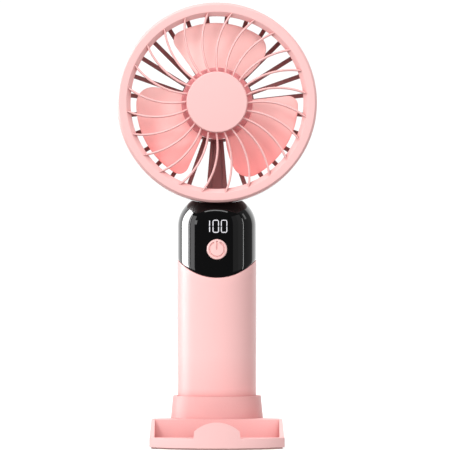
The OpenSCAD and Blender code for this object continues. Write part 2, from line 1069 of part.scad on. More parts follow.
// The tongue's front view: straight sides that lean in, and a round top
module tongue_view() {
    shoulder = tongue_h - 4.6;
    half_top = tongue_w / 2 - 1;
    intersection() {
        union() {
            polygon([[-tongue_w / 2, 0], [tongue_w / 2, 0], [half_top, shoulder], [-half_top, shoulder]]);
            translate([-half_top, shoulder - eps])
                square([2 * half_top, far]);
        }
        translate([0, tongue_h - tongue_top_r])
            circle(r = tongue_top_r);
    }
}

module stand_body() {
    color(pale_pink)
        difference() {
            union() {
                difference() {
                    translate([0, 0, pad_t])
                        linear_extrude(base_h - pad_t)
                            base_outline(0);
                    // Front lowered to the lip, with sloping ends beside the slot
                    translate([-far, 0, 0])
                        rotate([90, 0, 90])
                            linear_extrude(2 * far)
                                polygon([
                                    [slot_front_y, lip_h],
                                    [slot_back_y, base_h],
                                    [slot_back_y, far],
                                    [-far, far],
                                    [-far, lip_h]
                                ]);
                }
                bar(collar_foot_r, pad_t, base_h);
                translate([0, 0, base_h - eps])
                    cylinder(r1 = collar_foot_r, r2 = collar_top_r, h = collar_z - base_h + eps);
                intersection() {
                    translate([0, -far / 2, 0])
                        rotate([90, 0, 0])
                            linear_extrude(far)
                                tongue_view();
                    translate([0, front_arc_y, 0])
                        tube(front_arc_r, front_arc_r - tongue_t, pad_t, far);
                }
            }
            bar(socket_r, socket_z, far);
            box([-slot_half, slot_front_y, slot_floor], [slot_half, slot_back_y, far]);
            stand_recess(0);
            difference() {
                translate([0, 0, pad_t])
                    linear_extrude(pocket_top - pad_t)
                        intersection() {
                            base_outline(2.2);
                            translate([-far, cover_front_y])
                                square([2 * far, far]);
                        }
                bar(collar_foot_r, -1, far);
                for (spot = [stand_screw_spots[0], stand_screw_spots[1]])
                    translate(spot)
                        bar(3, -1, far);
            }
            for (spot = stand_screw_spots)
                translate(spot)
                    bar(stand_screw_r, pad_t, socket_z - 0.5);
        }
}

// The recess that the bottom cover drops into; gap makes the cover smaller than its recess
module stand_recess(gap) {
    translate([0, 0, pad_t])
        linear_extrude(cover_top - pad_t)
            intersection() {
                base_outline(2 + gap);
                translate([-far, cover_front_y + gap])
                    square([2 * far, 2 * far]);
            }
}

module stand_cover() {
    color(pale_pink)
        difference() {
            stand_recess(0.15);
            for (spot = stand_screw_spots)
                translate(spot) {
                    bar(stand_screw_r + 0.15, 0, far);
                    bar(2, 0, pad_t + 1);
                }
        }
}

module stand_screws() {
    color(steel)
        for (spot = stand_screw_spots)
            translate([spot[0], spot[1], pad_t + 1])
                screw(stand_screw_r - 0.02, 2.8, 1.8, 0.9);
}

module anti_slip_pad() {
    color(rubber_grey)
        linear_extrude(pad_t)
            base_outline(1);
}

front_grille();
centre_cap();
rear_shell();
rear_grille();
duct_cover();
impeller();
rotor_cup();
magnet_ring();
motor_shaft();
front_bearing();
rear_bearing();
bearing_tube();
stator_core();
stator_coils();
motor_board();
motor_screws();
motor_lead();
neck_cover();
display_digits();
display_module();
button_cap();
switch_plunger();
tact_switch();
main_board();
board_components();
board_screws();
inner_frame();
stem_screws();
battery_cell();
battery_tabs();
battery_leads();
handle_sleeve();
bottom_cap();
usb_board();
usb_receptacle();
usb_leads();
stand_body();
stand_cover();
stand_screws();
anti_slip_pad();
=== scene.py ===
"""Looks of a handheld electric fan standing in its desk stand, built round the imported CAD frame.

Shapes are drawn in millimetres, and materials, lights and the camera are set in metres. Pieces of the head
are drawn in the head's own frame: x to the right, y up and z forwards, from the head's centre. The other
pieces are drawn in the row's frame.
"""

import math

import bmesh
import bpy
from mathutils import Matrix, Vector

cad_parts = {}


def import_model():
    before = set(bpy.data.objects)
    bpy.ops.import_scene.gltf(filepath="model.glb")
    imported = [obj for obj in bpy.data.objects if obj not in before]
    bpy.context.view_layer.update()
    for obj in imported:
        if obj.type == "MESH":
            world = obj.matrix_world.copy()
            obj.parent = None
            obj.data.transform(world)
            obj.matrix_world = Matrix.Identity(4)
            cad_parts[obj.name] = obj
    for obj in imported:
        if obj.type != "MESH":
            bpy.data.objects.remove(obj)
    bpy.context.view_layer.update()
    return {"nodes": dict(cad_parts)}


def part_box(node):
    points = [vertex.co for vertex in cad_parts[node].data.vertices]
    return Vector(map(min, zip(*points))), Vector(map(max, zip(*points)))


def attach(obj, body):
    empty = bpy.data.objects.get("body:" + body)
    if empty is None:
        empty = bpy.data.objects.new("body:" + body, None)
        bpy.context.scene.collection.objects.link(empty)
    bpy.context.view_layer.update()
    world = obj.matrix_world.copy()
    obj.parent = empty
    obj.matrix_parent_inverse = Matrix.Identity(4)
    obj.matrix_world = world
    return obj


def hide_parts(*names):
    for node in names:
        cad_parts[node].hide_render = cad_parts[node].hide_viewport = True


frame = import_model()

MM = 0.001

# ---- Driving sizes, read from the frame ----

grille_low, grille_high = (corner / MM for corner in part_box("front_grille"))
sleeve_low, sleeve_high = (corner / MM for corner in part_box("handle_sleeve"))
stand_low, stand_high = (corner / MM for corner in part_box("stand_body"))
cap_low, cap_high = (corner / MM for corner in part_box("centre_cap"))
button_low, button_high = (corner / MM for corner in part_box("button_cap"))
digits_low, digits_high = (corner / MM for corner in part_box("display_digits"))

HEAD_R = (grille_high.x - grille_low.x) / 2
HEAD_Z = (grille_high.z + grille_low.z) / 2
CAP_R = (cap_high.x - cap_low.x) / 2
CAP_FRONT = -cap_low.y
RING_BACK = -grille_high.y
SHELL_REAR = -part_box("rear_shell")[1].y / MM
HANDLE_R = (sleeve_high.x - sleeve_low.x) / 2
SLEEVE_Z = sleeve_low.z
FOOT_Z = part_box("bottom_cap")[0].z / MM
PAD_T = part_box("anti_slip_pad")[1].z / MM
BUTTON_Z = (button_low.z + button_high.z) / 2
WALL = 1.8

FACING_FRONT = Matrix.Rotation(math.radians(90), 4, "X")
FACING_BACK = Matrix.Rotation(math.radians(-90), 4, "X")
HEAD = Matrix.Translation((0, 0, HEAD_Z)) @ FACING_FRONT

STEM_R = 8.0
STEM_Y = 1.0
STEM_PLACE = Matrix.Translation((0, STEM_Y, 0))


# ---- Geometry: outlines are lists of points, and parts are (vertices, faces), in millimetres ----

ON_AXIS = 1e-4
SHARPEST_MITRE = 0.4


def round_corners(points, radii, steps):
    """A closed outline with each corner rounded to its own radius."""
    out = []
    for i, point in enumerate(points):
        here = Vector(point)
        radius = radii[i]
        if radius <= 0:
            out.append(tuple(here))
            continue
        to_last = Vector(points[i - 1]) - here
        to_next = Vector(points[(i + 1) % len(points)]) - here
        half = to_last.angle(to_next) / 2
        reach = radius / math.tan(half)
        start = here + to_last.normalized() * reach
        end = here + to_next.normalized() * reach
        inwards = (to_last.normalized() + to_next.normalized()).normalized()
        centre = here + inwards * radius / math.sin(half)
        turn = (start - centre).angle(end - centre)
        for k in range(steps + 1):
            t = k / steps
            blend = (start - centre) * math.sin((1 - t) * turn) + (end - centre) * math.sin(t * turn)
            out.append(tuple(centre + blend / math.sin(turn)))
    return out


def arc(cx, cy, radius, start, end, steps):
    """Points along an arc, with angles in degrees."""
    angles = [math.radians(start + (end - start) * k / steps) for k in range(steps + 1)]
    return [(cx + radius * math.cos(a), cy + radius * math.sin(a)) for a in angles]


def lathe(profile, segments):
    """A closed (radius, height) profile turned about z. A point on the axis becomes one vertex."""
    verts, rings = [], []
    for r, z in profile:
        if r < ON_AXIS:
            rings.append([len(verts)])
            verts.append((0, 0, z))
            continue
        rings.append(list(range(len(verts), len(verts) + segments)))
        for k in range(segments):
            a = 2 * math.pi * k / segments
            verts.append((r * math.cos(a), r * math.sin(a), z))
    faces = []
    for i, ring in enumerate(rings):
        other = rings[(i + 1) % len(rings)]
        for k in range(segments):
            n = (k + 1) % segments
            if len(ring) == 1 and len(other) == 1:
                break
            if len(ring) == 1:
                faces.append((ring[0], other[n], other[k]))
            elif len(other) == 1:
                faces.append((ring[k], ring[n], other[0]))
            else:
                faces.append((ring[k], ring[n], other[n], other[k]))
    return verts, faces


def rod(radius, low, high, segments):
    """A plain round bar along z."""
    return lathe([(0, low), (radius, low), (radius, high), (0, high)], segments)


def offset_outline(outline, distance):
    """An outline moved inwards by a distance, along the mean normal at each point."""
    following = outline[1:] + outline[:1]
    area = sum(a[0] * b[1] - b[0] * a[1] for a, b in zip(outline, following, strict=True))
    side = 1 if area > 0 else -1
    out = []
    for i, point in enumerate(outline):
        before = Vector(point) - Vector(outline[i - 1])
        after = Vector(outline[(i + 1) % len(outline)]) - Vector(point)
        normal_before = Vector((-before.y, before.x)).normalized()
        normal_after = Vector((-after.y, after.x)).normalized()
        mean = (normal_before + normal_after).normalized()
        reach = distance / max(SHARPEST_MITRE, mean.dot(normal_before))
        out.append(tuple(Vector(point) + side * mean * reach))
    return out


def prism(outline, low, high, edge=0.0, steps=4):
    """An outline carried from one height to another, with its two rims rounded by edge."""
    levels = [(low, 0.0), (high, 0.0)]
    if edge > 0:
        turns = [math.pi / 2 * k / steps for k in range(steps + 1)]
        levels = [(low + edge - edge * math.cos(a), edge - edge * math.sin(a)) for a in turns]
        levels += [(high + low - z, inset) for z, inset in levels[::-1]]
    verts = []
    for z, inset in levels:
        for x, y in offset_outline(outline, inset) if inset else outline:
            verts.append((x, y, z))
    return stacked(verts, len(outline))


def loft(sections):
    """Closed sections of the same number of points, joined in order and capped at both ends."""
    return stacked([tuple(p) for section in sections for p in section], len(sections[0]))


def stacked(verts, count):
    """A part from closed sections of a count of points each, joined in order and capped at both ends."""
    faces = [tuple(range(count))[::-1], tuple(range(len(verts) - count, len(verts)))]
    for a in range(0, len(verts) - count, count):
        b = a + count
        for k in range(count):
            n = (k + 1) % count
            faces.append((a + k, a + n, b + n, b + k))
    return verts, faces


def moved(part, matrix):
    """A part carried by a matrix."""
    verts, faces = part
    return [tuple(matrix @ Vector(v)) for v in verts], faces


def turned(part, degrees):
    """A part turned about z."""
    return moved(part, Matrix.Rotation(math.radians(degrees), 4, "Z"))


def bent(part, change):
    """A part with each vertex changed by a function of its place."""
    verts, faces = part
    return [change(*v) for v in verts], faces


# ---- Pieces ----

SHARP_ANGLE = 35
MERGE = 0.004


def new_object(name, parts, matrix=None, sharp=SHARP_ANGLE):
    """One mesh object from several parts."""
    matrix = Matrix.Scale(MM, 4) @ (matrix or Matrix.Identity(4))
    verts, faces = [], []
    for part_verts, part_faces in parts:
        start = len(verts)
        verts += [tuple(matrix @ Vector(v)) for v in part_verts]
        faces += [tuple(start + i for i in face) for face in part_faces]
    mesh = bpy.data.meshes.new(name)
    mesh.from_pydata(verts, [], faces)
    solid = bmesh.new()
    solid.from_mesh(mesh)
    bmesh.ops.recalc_face_normals(solid, faces=solid.faces)
    solid.to_mesh(mesh)
    solid.free()
    smooth(mesh, sharp)
    obj = bpy.data.objects.new(name, mesh)
    bpy.context.scene.collection.objects.link(obj)
    return obj


def smooth(mesh, sharp=SHARP_ANGLE):
    """Smooth shading, with edges sharper than an angle kept as edges."""
    mesh.polygons.foreach_set("use_smooth", [True] * len(mesh.polygons))
    mesh.set_sharp_from_angle(angle=math.radians(sharp))
    mesh.update()


def apply_modifiers(obj):
    """The mesh as its modifiers leave it, with the modifiers taken off."""
    graph = bpy.context.evaluated_depsgraph_get()
    graph.update()
    result = bpy.data.meshes.new_from_object(obj.evaluated_get(graph))
    obj.modifiers.clear()
    old = obj.data
    obj.data = result
    result.name = old.name
    bpy.data.meshes.remove(old)


def clean(obj):
    """Joins the vertices that nearly meet, drops the faces that have no area left and shades the mesh."""
    solid = bmesh.new()
    solid.from_mesh(obj.data)
    bmesh.ops.remove_doubles(solid, verts=solid.verts, dist=MERGE * MM)
    bmesh.ops.dissolve_degenerate(solid, edges=solid.edges, dist=MERGE * MM)
    solid.to_mesh(obj.data)
    solid.free()
    smooth(obj.data)


def combine(obj, other, operation):
    """A boolean of two closed objects; the other object is used up."""
    modifier = obj.modifiers.new(operation, "BOOLEAN")
    modifier.operation = operation
    modifier.solver = "EXACT"
    modifier.object = other
    apply_modifiers(obj)
    bpy.data.objects.remove(other)


def soften(obj, width, angle, segments):
    """Rounded edges of a width in millimetres wherever two faces meet at more than an angle."""
    bevel = obj.modifiers.new("edges", "BEVEL")
    bevel.width = width * MM
    bevel.segments = segments
    bevel.limit_method = "ANGLE"
    bevel.angle_limit = math.radians(angle)
    bevel.use_clamp_overlap = True
    apply_modifiers(obj)
    clean(obj)


def round_edges(obj, pick, width, segments):
    """A rounded edge of a width in millimetres wherever both ends of an edge are picked by their place."""
    solid = bmesh.new()
    solid.from_mesh(obj.data)
    edges = [edge for edge in solid.edges if all(pick(*(vert.co / MM)) for vert in edge.verts)]
    bmesh.ops.bevel(solid, geom=edges, offset=width * MM, offset_type="OFFSET", segments=segments,
                    profile=0.5, affect="EDGES", clamp_overlap=True)
    solid.to_mesh(obj.data)
    solid.free()


def finish_piece(obj, body, material, slot, *nodes):
    """Puts a piece on its body, in its material, in place of its CAD nodes."""
    obj.data.materials.clear()
    obj.data.materials.append(material)
    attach(obj, body)
    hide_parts(*nodes)


# ---- Materials ----

def srgb(code):
    """A hex colour as linear red, green, blue and alpha."""
    channels = [int(code[i : i + 2], 16) / 255 for i in (0, 2, 4)]
    return [c / 12.92 if c <= 0.04045 else ((c + 0.055) / 1.055) ** 2.4 for c in channels] + [1.0]


def put(tree, socket, value):
    """Gives a socket a constant, or the output of another node."""
    if isinstance(value, bpy.types.NodeSocket):
        tree.links.new(value, socket)
    else:
        socket.default_value = value


def noise(tree, scale, detail):
    """Noise that is fixed to the place on the object."""
    place = tree.nodes.new("ShaderNodeTexCoord")
    texture = tree.nodes.new("ShaderNodeTexNoise")
    texture.inputs["Scale"].default_value = scale
    texture.inputs["Detail"].default_value = detail
    tree.links.new(place.outputs["Object"], texture.inputs["Vector"])
    return texture.outputs["Fac"]


def ranged(tree, value, source, target, kind="LINEAR"):
    """A value carried from one range to another and held at its ends."""
    span = tree.nodes.new("ShaderNodeMapRange")
    span.interpolation_type = kind
    span.inputs["From Min"].default_value, span.inputs["From Max"].default_value = source
    span.inputs["To Min"].default_value, span.inputs["To Max"].default_value = target
    tree.links.new(value, span.inputs["Value"])
    return span.outputs["Result"]


def blended(tree, share, first, second, kind="MIX"):
    """A colour that goes from a first one to a second one with a share."""
    mix = tree.nodes.new("ShaderNodeMix")
    mix.data_type = "RGBA"
    mix.blend_type = kind
    put(tree, mix.inputs["A"], first)
    put(tree, mix.inputs["B"], second)
    tree.links.new(share, mix.inputs["Factor"])
    return mix.outputs["Result"]


MOTTLE_SCALE = 60
GLOSS_SCALE = 220
GLOSS_SPREAD = 0.15
GRAIN_DEPTH = 0.00004
# Colour share and samples of the painted shade in closed-in corners.
PAINTED_SHADE_SHARE = (0.62, 0.36, 0.36)
PAINTED_SHADE_SAMPLES = 6
PLASTIC_IOR = 1.5
COAT_ROUGHNESS = 0.05


def plastic(name, code, roughness, mottle=0.03, grain=0.0, grain_scale=9000, coat=0.0, shine=0.5,
            reach=0, alone=False):
    """Moulded plastic: faint flow mottling in its colour, uneven gloss and a fine surface grain.

    With a reach in metres, the colour carries painted shade: corners and gaps closed in within that reach
    are painted darker. Alone, a piece is closed in only by itself.
    """
    material = bpy.data.materials.new(name)
    material.use_nodes = True
    tree = material.node_tree
    shader = tree.nodes["Principled BSDF"]
    base = srgb(code)
    darker = [c * (1 - mottle) for c in base[:3]] + [1]
    lighter = [min(1, c * (1 + mottle)) for c in base[:3]] + [1]
    colour = blended(tree, noise(tree, MOTTLE_SCALE, 4), darker, lighter)
    if reach:
        # Painted shade: ambient occlusion darkens the colour in corners and gaps closed in within the reach.
        corner = tree.nodes.new("ShaderNodeAmbientOcclusion")
        corner.inputs["Distance"].default_value = reach
        corner.samples = PAINTED_SHADE_SAMPLES
        corner.only_local = alone
        painted_shade = [c * share for c, share in zip(base[:3], PAINTED_SHADE_SHARE, strict=True)] + [1]
        colour = blended(tree, corner.outputs["AO"], painted_shade, colour)
    tree.links.new(colour, shader.inputs["Base Color"])
    uneven = (roughness * (1 - GLOSS_SPREAD), roughness * (1 + GLOSS_SPREAD))
    gloss = ranged(tree, noise(tree, GLOSS_SCALE, 3), (0, 1), uneven)
    tree.links.new(gloss, shader.inputs["Roughness"])
    if grain:
        bump = tree.nodes.new("ShaderNodeBump")
        bump.inputs["Strength"].default_value = grain
        bump.inputs["Distance"].default_value = GRAIN_DEPTH
        tree.links.new(noise(tree, grain_scale, 2), bump.inputs["Height"])
        tree.links.new(bump.outputs["Normal"], shader.inputs["Normal"])
    shader.inputs["Coat Weight"].default_value = coat
    shader.inputs["Coat Roughness"].default_value = COAT_ROUGHNESS
    shader.inputs["IOR"].default_value = PLASTIC_IOR
    shader.inputs["Specular IOR Level"].default_value = shine
    return material


DRIFT_SCALE = 22
DRIFT_SHARE = 0.35
LOW_SHADE_SHARE = 0.75


def shaded_glowing_plastic(name, code, shaded_code, low, high, roughness, glow):
    """Thin plastic with painted shade that darkens it downwards between two heights, and a painted glow in
    its own colour.
    """
    material = plastic(name, code, roughness)
    tree = material.node_tree
    shader = tree.nodes["Principled BSDF"]
    place = tree.nodes.new("ShaderNodeTexCoord")
    split = tree.nodes.new("ShaderNodeSeparateXYZ")
    tree.links.new(place.outputs["Object"], split.inputs["Vector"])
    share = tree.nodes.new("ShaderNodeMath")
    share.operation = "MULTIPLY_ADD"
    share.use_clamp = True
    tree.links.new(noise(tree, DRIFT_SCALE, 1), share.inputs[0])
    share.inputs[1].default_value = DRIFT_SHARE
    # Painted shade: the colour darkens towards the lower height, spread unevenly by the noise.
    fall = ranged(tree, split.outputs["Z"], (low, high), (LOW_SHADE_SHARE, 0), "SMOOTHSTEP")
    tree.links.new(fall, share.inputs[2])
    colour = blended(tree, share.outputs["Value"], srgb(code), srgb(shaded_code))
    tree.links.new(colour, shader.inputs["Base Color"])
    # Painted glow: the plastic emits its own colour though it is no lamp.
    tree.links.new(colour, shader.inputs["Emission Color"])
    shader.inputs["Emission Strength"].default_value = glow
    return material


FROM_AXIS = (1, 1, 0)
ALONG_HEIGHT = (0, 0, 1)


def paint_shade_band(material, axes, near, far, share):
    """Paints shade: multiplies a material's colour by a share up to a near distance, fading out at a far
    one.

    The distance is in metres from the row's origin and counts the marked axes only: FROM_AXIS measures
    from the handle's axis, and ALONG_HEIGHT measures the height.
    """
    tree = material.node_tree
    colour = tree.nodes["Principled BSDF"].inputs["Base Color"]
    place = tree.nodes.new("ShaderNodeTexCoord")
    marked = tree.nodes.new("ShaderNodeVectorMath")
    marked.operation = "MULTIPLY"
    marked.inputs[1].default_value = axes
    tree.links.new(place.outputs["Object"], marked.inputs[0])
    distance = tree.nodes.new("ShaderNodeVectorMath")
    distance.operation = "LENGTH"
    tree.links.new(marked.outputs["Vector"], distance.inputs[0])
    inside = ranged(tree, distance.outputs["Value"], (near, far), (1, 0))
    plain = colour.links[0].from_socket
    tree.links.new(blended(tree, inside, plain, (*share, 1), "MULTIPLY"), colour)


def metal(name, code, roughness):
    """Metal with a slightly uneven colour and a fine grain."""
    material = plastic(name, code, roughness, mottle=0.06, grain=0.15, grain_scale=3000)
    material.node_tree.nodes["Principled BSDF"].inputs["Metallic"].default_value = 1.0
    return material


def lit(name, code, strength):
    """Lit segments of a display under a clear coat."""
    material = plastic(name, code, 0.15, mottle=0.02, coat=1.0)
    shader = material.node_tree.nodes["Principled BSDF"]
    shader.inputs["Emission Color"].default_value = srgb(code)
    shader.inputs["Emission Strength"].default_value = strength
    return material


# Painted shade: materials with a reach darken in corners, gaps and grooves, such as the stand's slot and the
# button's symbol.
PINK = plastic("pink_shell", "FDC9C7", 0.38, mottle=0.015, grain=0.10, shine=0.15, reach=0.006)
SLEEVE = plastic("pink_sleeve", "FDC9C7", 0.38, mottle=0.015, grain=0.10, shine=0.15, reach=0.004)
PALE = plastic("pale_pink", "FDCBC9", 0.42, mottle=0.015, grain=0.14, shine=0.1, reach=0.03, alone=True)
KEY_CAP = plastic("key_cap", "FDCFCB", 0.40, mottle=0.015, grain=0.10, shine=0.3, reach=0.0016)
# The blades carry painted shade, darker towards the bottom, and a painted glow.
BLADE = shaded_glowing_plastic("rose_blade", "FFDAD6", "FA9A98", low=0.132, high=0.186, roughness=0.22, glow=0.22)
# The hub's darker rose stands in for the centre cap's shadow on it: painted shade, with more in its corners.
HUB = plastic("rose_hub", "E89A9D", 0.3, mottle=0.03, reach=0.004)
# Painted shade: the rear grille's dark maroon stands in for the deep shade inside the drum.
MAROON = plastic("maroon", "8F6666", 0.42, mottle=0.06, grain=0.12, shine=0.3)
BLACK = plastic("gloss_black", "060607", 0.04, mottle=0.05)
DIGITS = lit("display_white", "DAD9DE", 0.3)
STEEL = metal("steel", "B8B9BC", 0.28)
COPPER = metal("copper", "B8703C", 0.35)
BRASS = metal("bronze", "C9A45A", 0.32)
MAGNET = plastic("magnet", "2A2A2C", 0.5, mottle=0.1, grain=0.3, grain_scale=4000)
BOARD = plastic("circuit_board", "14502C", 0.35, mottle=0.08, grain=0.2, grain_scale=3000)
CHIP = plastic("component_black", "17171A", 0.5, mottle=0.05, grain=0.3)
FRAME = plastic("frame_white", "DAD9D4", 0.45, mottle=0.03, grain=0.2)
WIRE = plastic("wire_insulation", "C9BDB8", 0.5, mottle=0.04)
CELL = plastic("cell_wrap", "2C4C8C", 0.3, mottle=0.04)
RUBBER = plastic("grip_rubber", "D9A9A6", 0.75, mottle=0.08, grain=0.6, grain_scale=2500)

# Painted shade: the foot of the sleeve and the whole collar of the stand are darkened in colour.
paint_shade_band(SLEEVE, ALONG_HEIGHT, 0.024, 0.046, (0.94, 0.85, 0.85))
paint_shade_band(PALE, FROM_AXIS, 0.0237, 0.0243, (0.86, 0.78, 0.78))

CAD_LOOKS = {
    "rotor_cup": STEEL, "motor_shaft": STEEL, "magnet_ring": MAGNET, "front_bearing": BRASS,
    "rear_bearing": BRASS, "bearing_tube": BRASS, "stator_core": STEEL, "stator_coils": COPPER,
    "motor_board": BOARD, "motor_screws": STEEL, "motor_lead": WIRE, "display_module": CHIP,
    "switch_plunger": CHIP, "tact_switch": STEEL, "main_board": BOARD, "board_components": CHIP,
    "board_screws": STEEL, "inner_frame": FRAME, "stem_screws": STEEL, "battery_cell": CELL,
    "battery_tabs": STEEL, "battery_leads": WIRE, "usb_board": BOARD, "usb_receptacle": STEEL,
    "usb_leads": WIRE, "stand_screws": STEEL, "stand_cover": PALE, "duct_cover": MAROON,
}
for node_name, material in CAD_LOOKS.items():
    node = frame["nodes"][node_name]
    node.data.materials.clear()
    node.data.materials.append(material)


# ---- Head: front grille ----

RING_FRONT = 20.0
OPENING_R = 43.65
SEAT_BACK = 19.2
SEAT_FRONT = 21.3
SPOKES = 24
FIRST_SPOKE = -2.2
SPOKE_W = 1.1
SPOKE_DEPTH = 2.2
SPOKE_CURVE_R = 36.5
SPOKE_LAG = 7.3
SPOKE_TIP_R = 45.6
SPOKE_TIP_FRONT = 20.1
SPOKE_TAPER_FROM = 0.93
SPOKE_TIP_NARROWING = 0.65
SPOKE_TIP_THINNING = 0.3
SPOKE_STEPS = 28


def spoke(angle):
    """One spoke: a curved bar with a rounded front, narrowing to a thin tip on the ring's inner chamfer."""
    root = Vector((CAP_R - 1.0, 0))
    lag = math.radians(-SPOKE_LAG)
    tip = SPOKE_TIP_R * Vector((math.cos(lag), math.sin(lag)))
    chord = tip - root
    away = Vector((chord.y, -chord.x)).normalized()
    half = chord.length / 2
    centre = (root + tip) / 2 + away * math.sqrt(SPOKE_CURVE_R**2 - half**2)
    first = math.atan2(root.y - centre.y, root.x - centre.x)
    sweep = 2 * math.asin(half / SPOKE_CURVE_R)
    sections = []
    for k in range(SPOKE_STEPS + 1):
        t = k / SPOKE_STEPS
        a = first - sweep * t
        out = Vector((math.cos(a), math.sin(a)))
        front = SEAT_FRONT + (SPOKE_TIP_FRONT - SEAT_FRONT) * t
        tapered = max(0, (t - SPOKE_TAPER_FROM) / (1 - SPOKE_TAPER_FROM))
        width = SPOKE_W * (1 - SPOKE_TIP_NARROWING * tapered)
        depth = SPOKE_DEPTH * (1 - SPOKE_TIP_THINNING * tapered)
        side, flat, shoulder = width / 2, width * 0.2, -width * 0.55
        outline = round_corners(
            [(-side, -depth), (side, -depth), (side, shoulder), (flat, 0), (-flat, 0), (-side, shoulder)],
            [0.1, 0.1, width * 0.1, width * 0.12, width * 0.12, width * 0.1], steps=2)
        across = [(SPOKE_CURVE_R + w, front + d) for w, d in outline]
        sections.append([(centre.x + out.x * r, centre.y + out.y * r, z) for r, z in across])
    return turned(loft(sections), angle)


def front_grille():
    """The outer ring, chamfered inside and outside, the centre cap's seat and the spokes between them."""
    inner_r, lip_back = HEAD_R - WALL, RING_FRONT - 3
    ring = round_corners(
        [(OPENING_R + 2.1, RING_FRONT), (HEAD_R - 1.1, RING_FRONT), (HEAD_R, RING_FRONT - 1.3),
         (HEAD_R, RING_BACK), (inner_r, RING_BACK), (inner_r, lip_back), (OPENING_R, lip_back),
         (OPENING_R, RING_FRONT - 1.9)],
        [0.5, 0.5, 0.6, 0.35, 0.3, 0.5, 0.4, 0.6], steps=6)
    seat_r = CAP_R + 0.2
    seat = round_corners([(0, SEAT_BACK), (seat_r, SEAT_BACK), (seat_r, SEAT_FRONT), (0, SEAT_FRONT)],
                         [0, 0.5, 0.3, 0], steps=4)
    parts = [lathe(ring, segments=240), lathe(seat, segments=120)]
    parts += [spoke(360 / SPOKES * k + FIRST_SPOKE) for k in range(SPOKES)]
    obj = new_object("front_grille_piece", parts, HEAD)
    finish_piece(obj, "fan", PINK, "pink_shell", "front_grille")


def centre_cap():
    """The round cap in the middle of the spokes."""
    back = CAP_FRONT - 1.6
    disc = round_corners([(0, back), (CAP_R, back), (CAP_R, CAP_FRONT), (0, CAP_FRONT)],
                         [0, 0.2, 0.6, 0], steps=6)
    obj = new_object("centre_cap_piece", [lathe(disc, segments=160)], HEAD)
    finish_piece(obj, "fan", PINK, "pink_shell", "centre_cap")


# ---- Head: rear shell and rear grille ----

REAR_OPENING_R = 46.3
SEAT_DISC_R = 19.2
REAR_BARS = 28
REAR_BAR_W = 2.2
GRILLE_FRONT = -11.6
GRILLE_REAR = -14.4
DISH_R = 13.4
DISH_DEPTH = 0.4
GROOVE_R = 15.9
MOTOR_WALL_R = 18.9
MOTOR_WALL_INNER_R = 17.7
MOTOR_WALL_FRONT = -7.0
RIM_R = 48.3
RIM_INNER_R = 45.6
RIM_FRONT = -10.4
RIM_REAR = -12.4
DUCT_HALF_IN = 3.25
DUCT_HALF_OUT = 5.65
LOCATING_STEP = 6.75
LOCATING_RIM = 13.2
STEM_BORE_R = 5.5
STEM_Z = 111.2


def rear_shell():
    """The drum behind the front ring, with its locating step and the stem that enters the neck."""
    front, floor_front = RING_BACK - 0.25, SHELL_REAR + 2.5
    wall_r, step_r, lip_r = HEAD_R - 2, HEAD_R - 3.7, HEAD_R - 2.1
    drum = round_corners(
        [(HEAD_R, front), (HEAD_R, SHELL_REAR), (REAR_OPENING_R, SHELL_REAR), (REAR_OPENING_R, floor_front),
         (wall_r, floor_front), (wall_r, LOCATING_STEP), (step_r, LOCATING_STEP), (step_r, LOCATING_RIM),
         (lip_r, LOCATING_RIM), (lip_r, front)],
        [0.35, 4.0, 0.6, 0.4, 0.6, 0.3, 0.2, 0.3, 0.3, 0.1], steps=7)
    obj = new_object("rear_shell_piece", [lathe(drum, segments=240)], HEAD)
    stem_top = HEAD_Z - HEAD_R + 1.2
    stem = lathe([(STEM_BORE_R, STEM_Z), (STEM_R, STEM_Z), (STEM_R, stem_top), (STEM_BORE_R, stem_top)],
                 segments=64)
    combine(obj, new_object("stem", [stem], STEM_PLACE), "UNION")
    clean(obj)
    finish_piece(obj, "fan", PINK, "pink_shell", "rear_shell")


def rear_bar(angle):
    """A straight bar with rounded edges, from the motor seat to the rim."""
    side = REAR_BAR_W / 2
    across = round_corners([(-side, GRILLE_REAR), (side, GRILLE_REAR), (side, GRILLE_FRONT),
                            (-side, GRILLE_FRONT)], [0.3] * 4, steps=3)
    sections = [[(r, w, d) for w, d in across] for r in (SEAT_DISC_R - 1, REAR_OPENING_R - 0.3)]
    return turned(loft(sections), angle)


def duct():
    """The wide wire duct below the motor, with a raised centre strip and two edge ridges on its front."""
    inner, outer = SEAT_DISC_R - 1.5, REAR_OPENING_R - 0.6

    def strip(low, high, back, front, edge):
        """A bar that covers a share of the duct's width and widens outwards as the duct does."""
        outline = [(low * DUCT_HALF_IN, -inner), (high * DUCT_HALF_IN, -inner),
                   (high * DUCT_HALF_OUT, -outer), (low * DUCT_HALF_OUT, -outer)]
        return prism(outline[::-1], back, front, edge)

    parts = [strip(-1, 1, GRILLE_REAR, GRILLE_FRONT + 0.35, 0.3)]
    for low, high in ((-0.98, -0.62), (-0.46, 0.46), (0.62, 0.98)):
        parts.append(strip(low, high, GRILLE_FRONT, GRILLE_FRONT + 0.8, 0.2))
    return parts


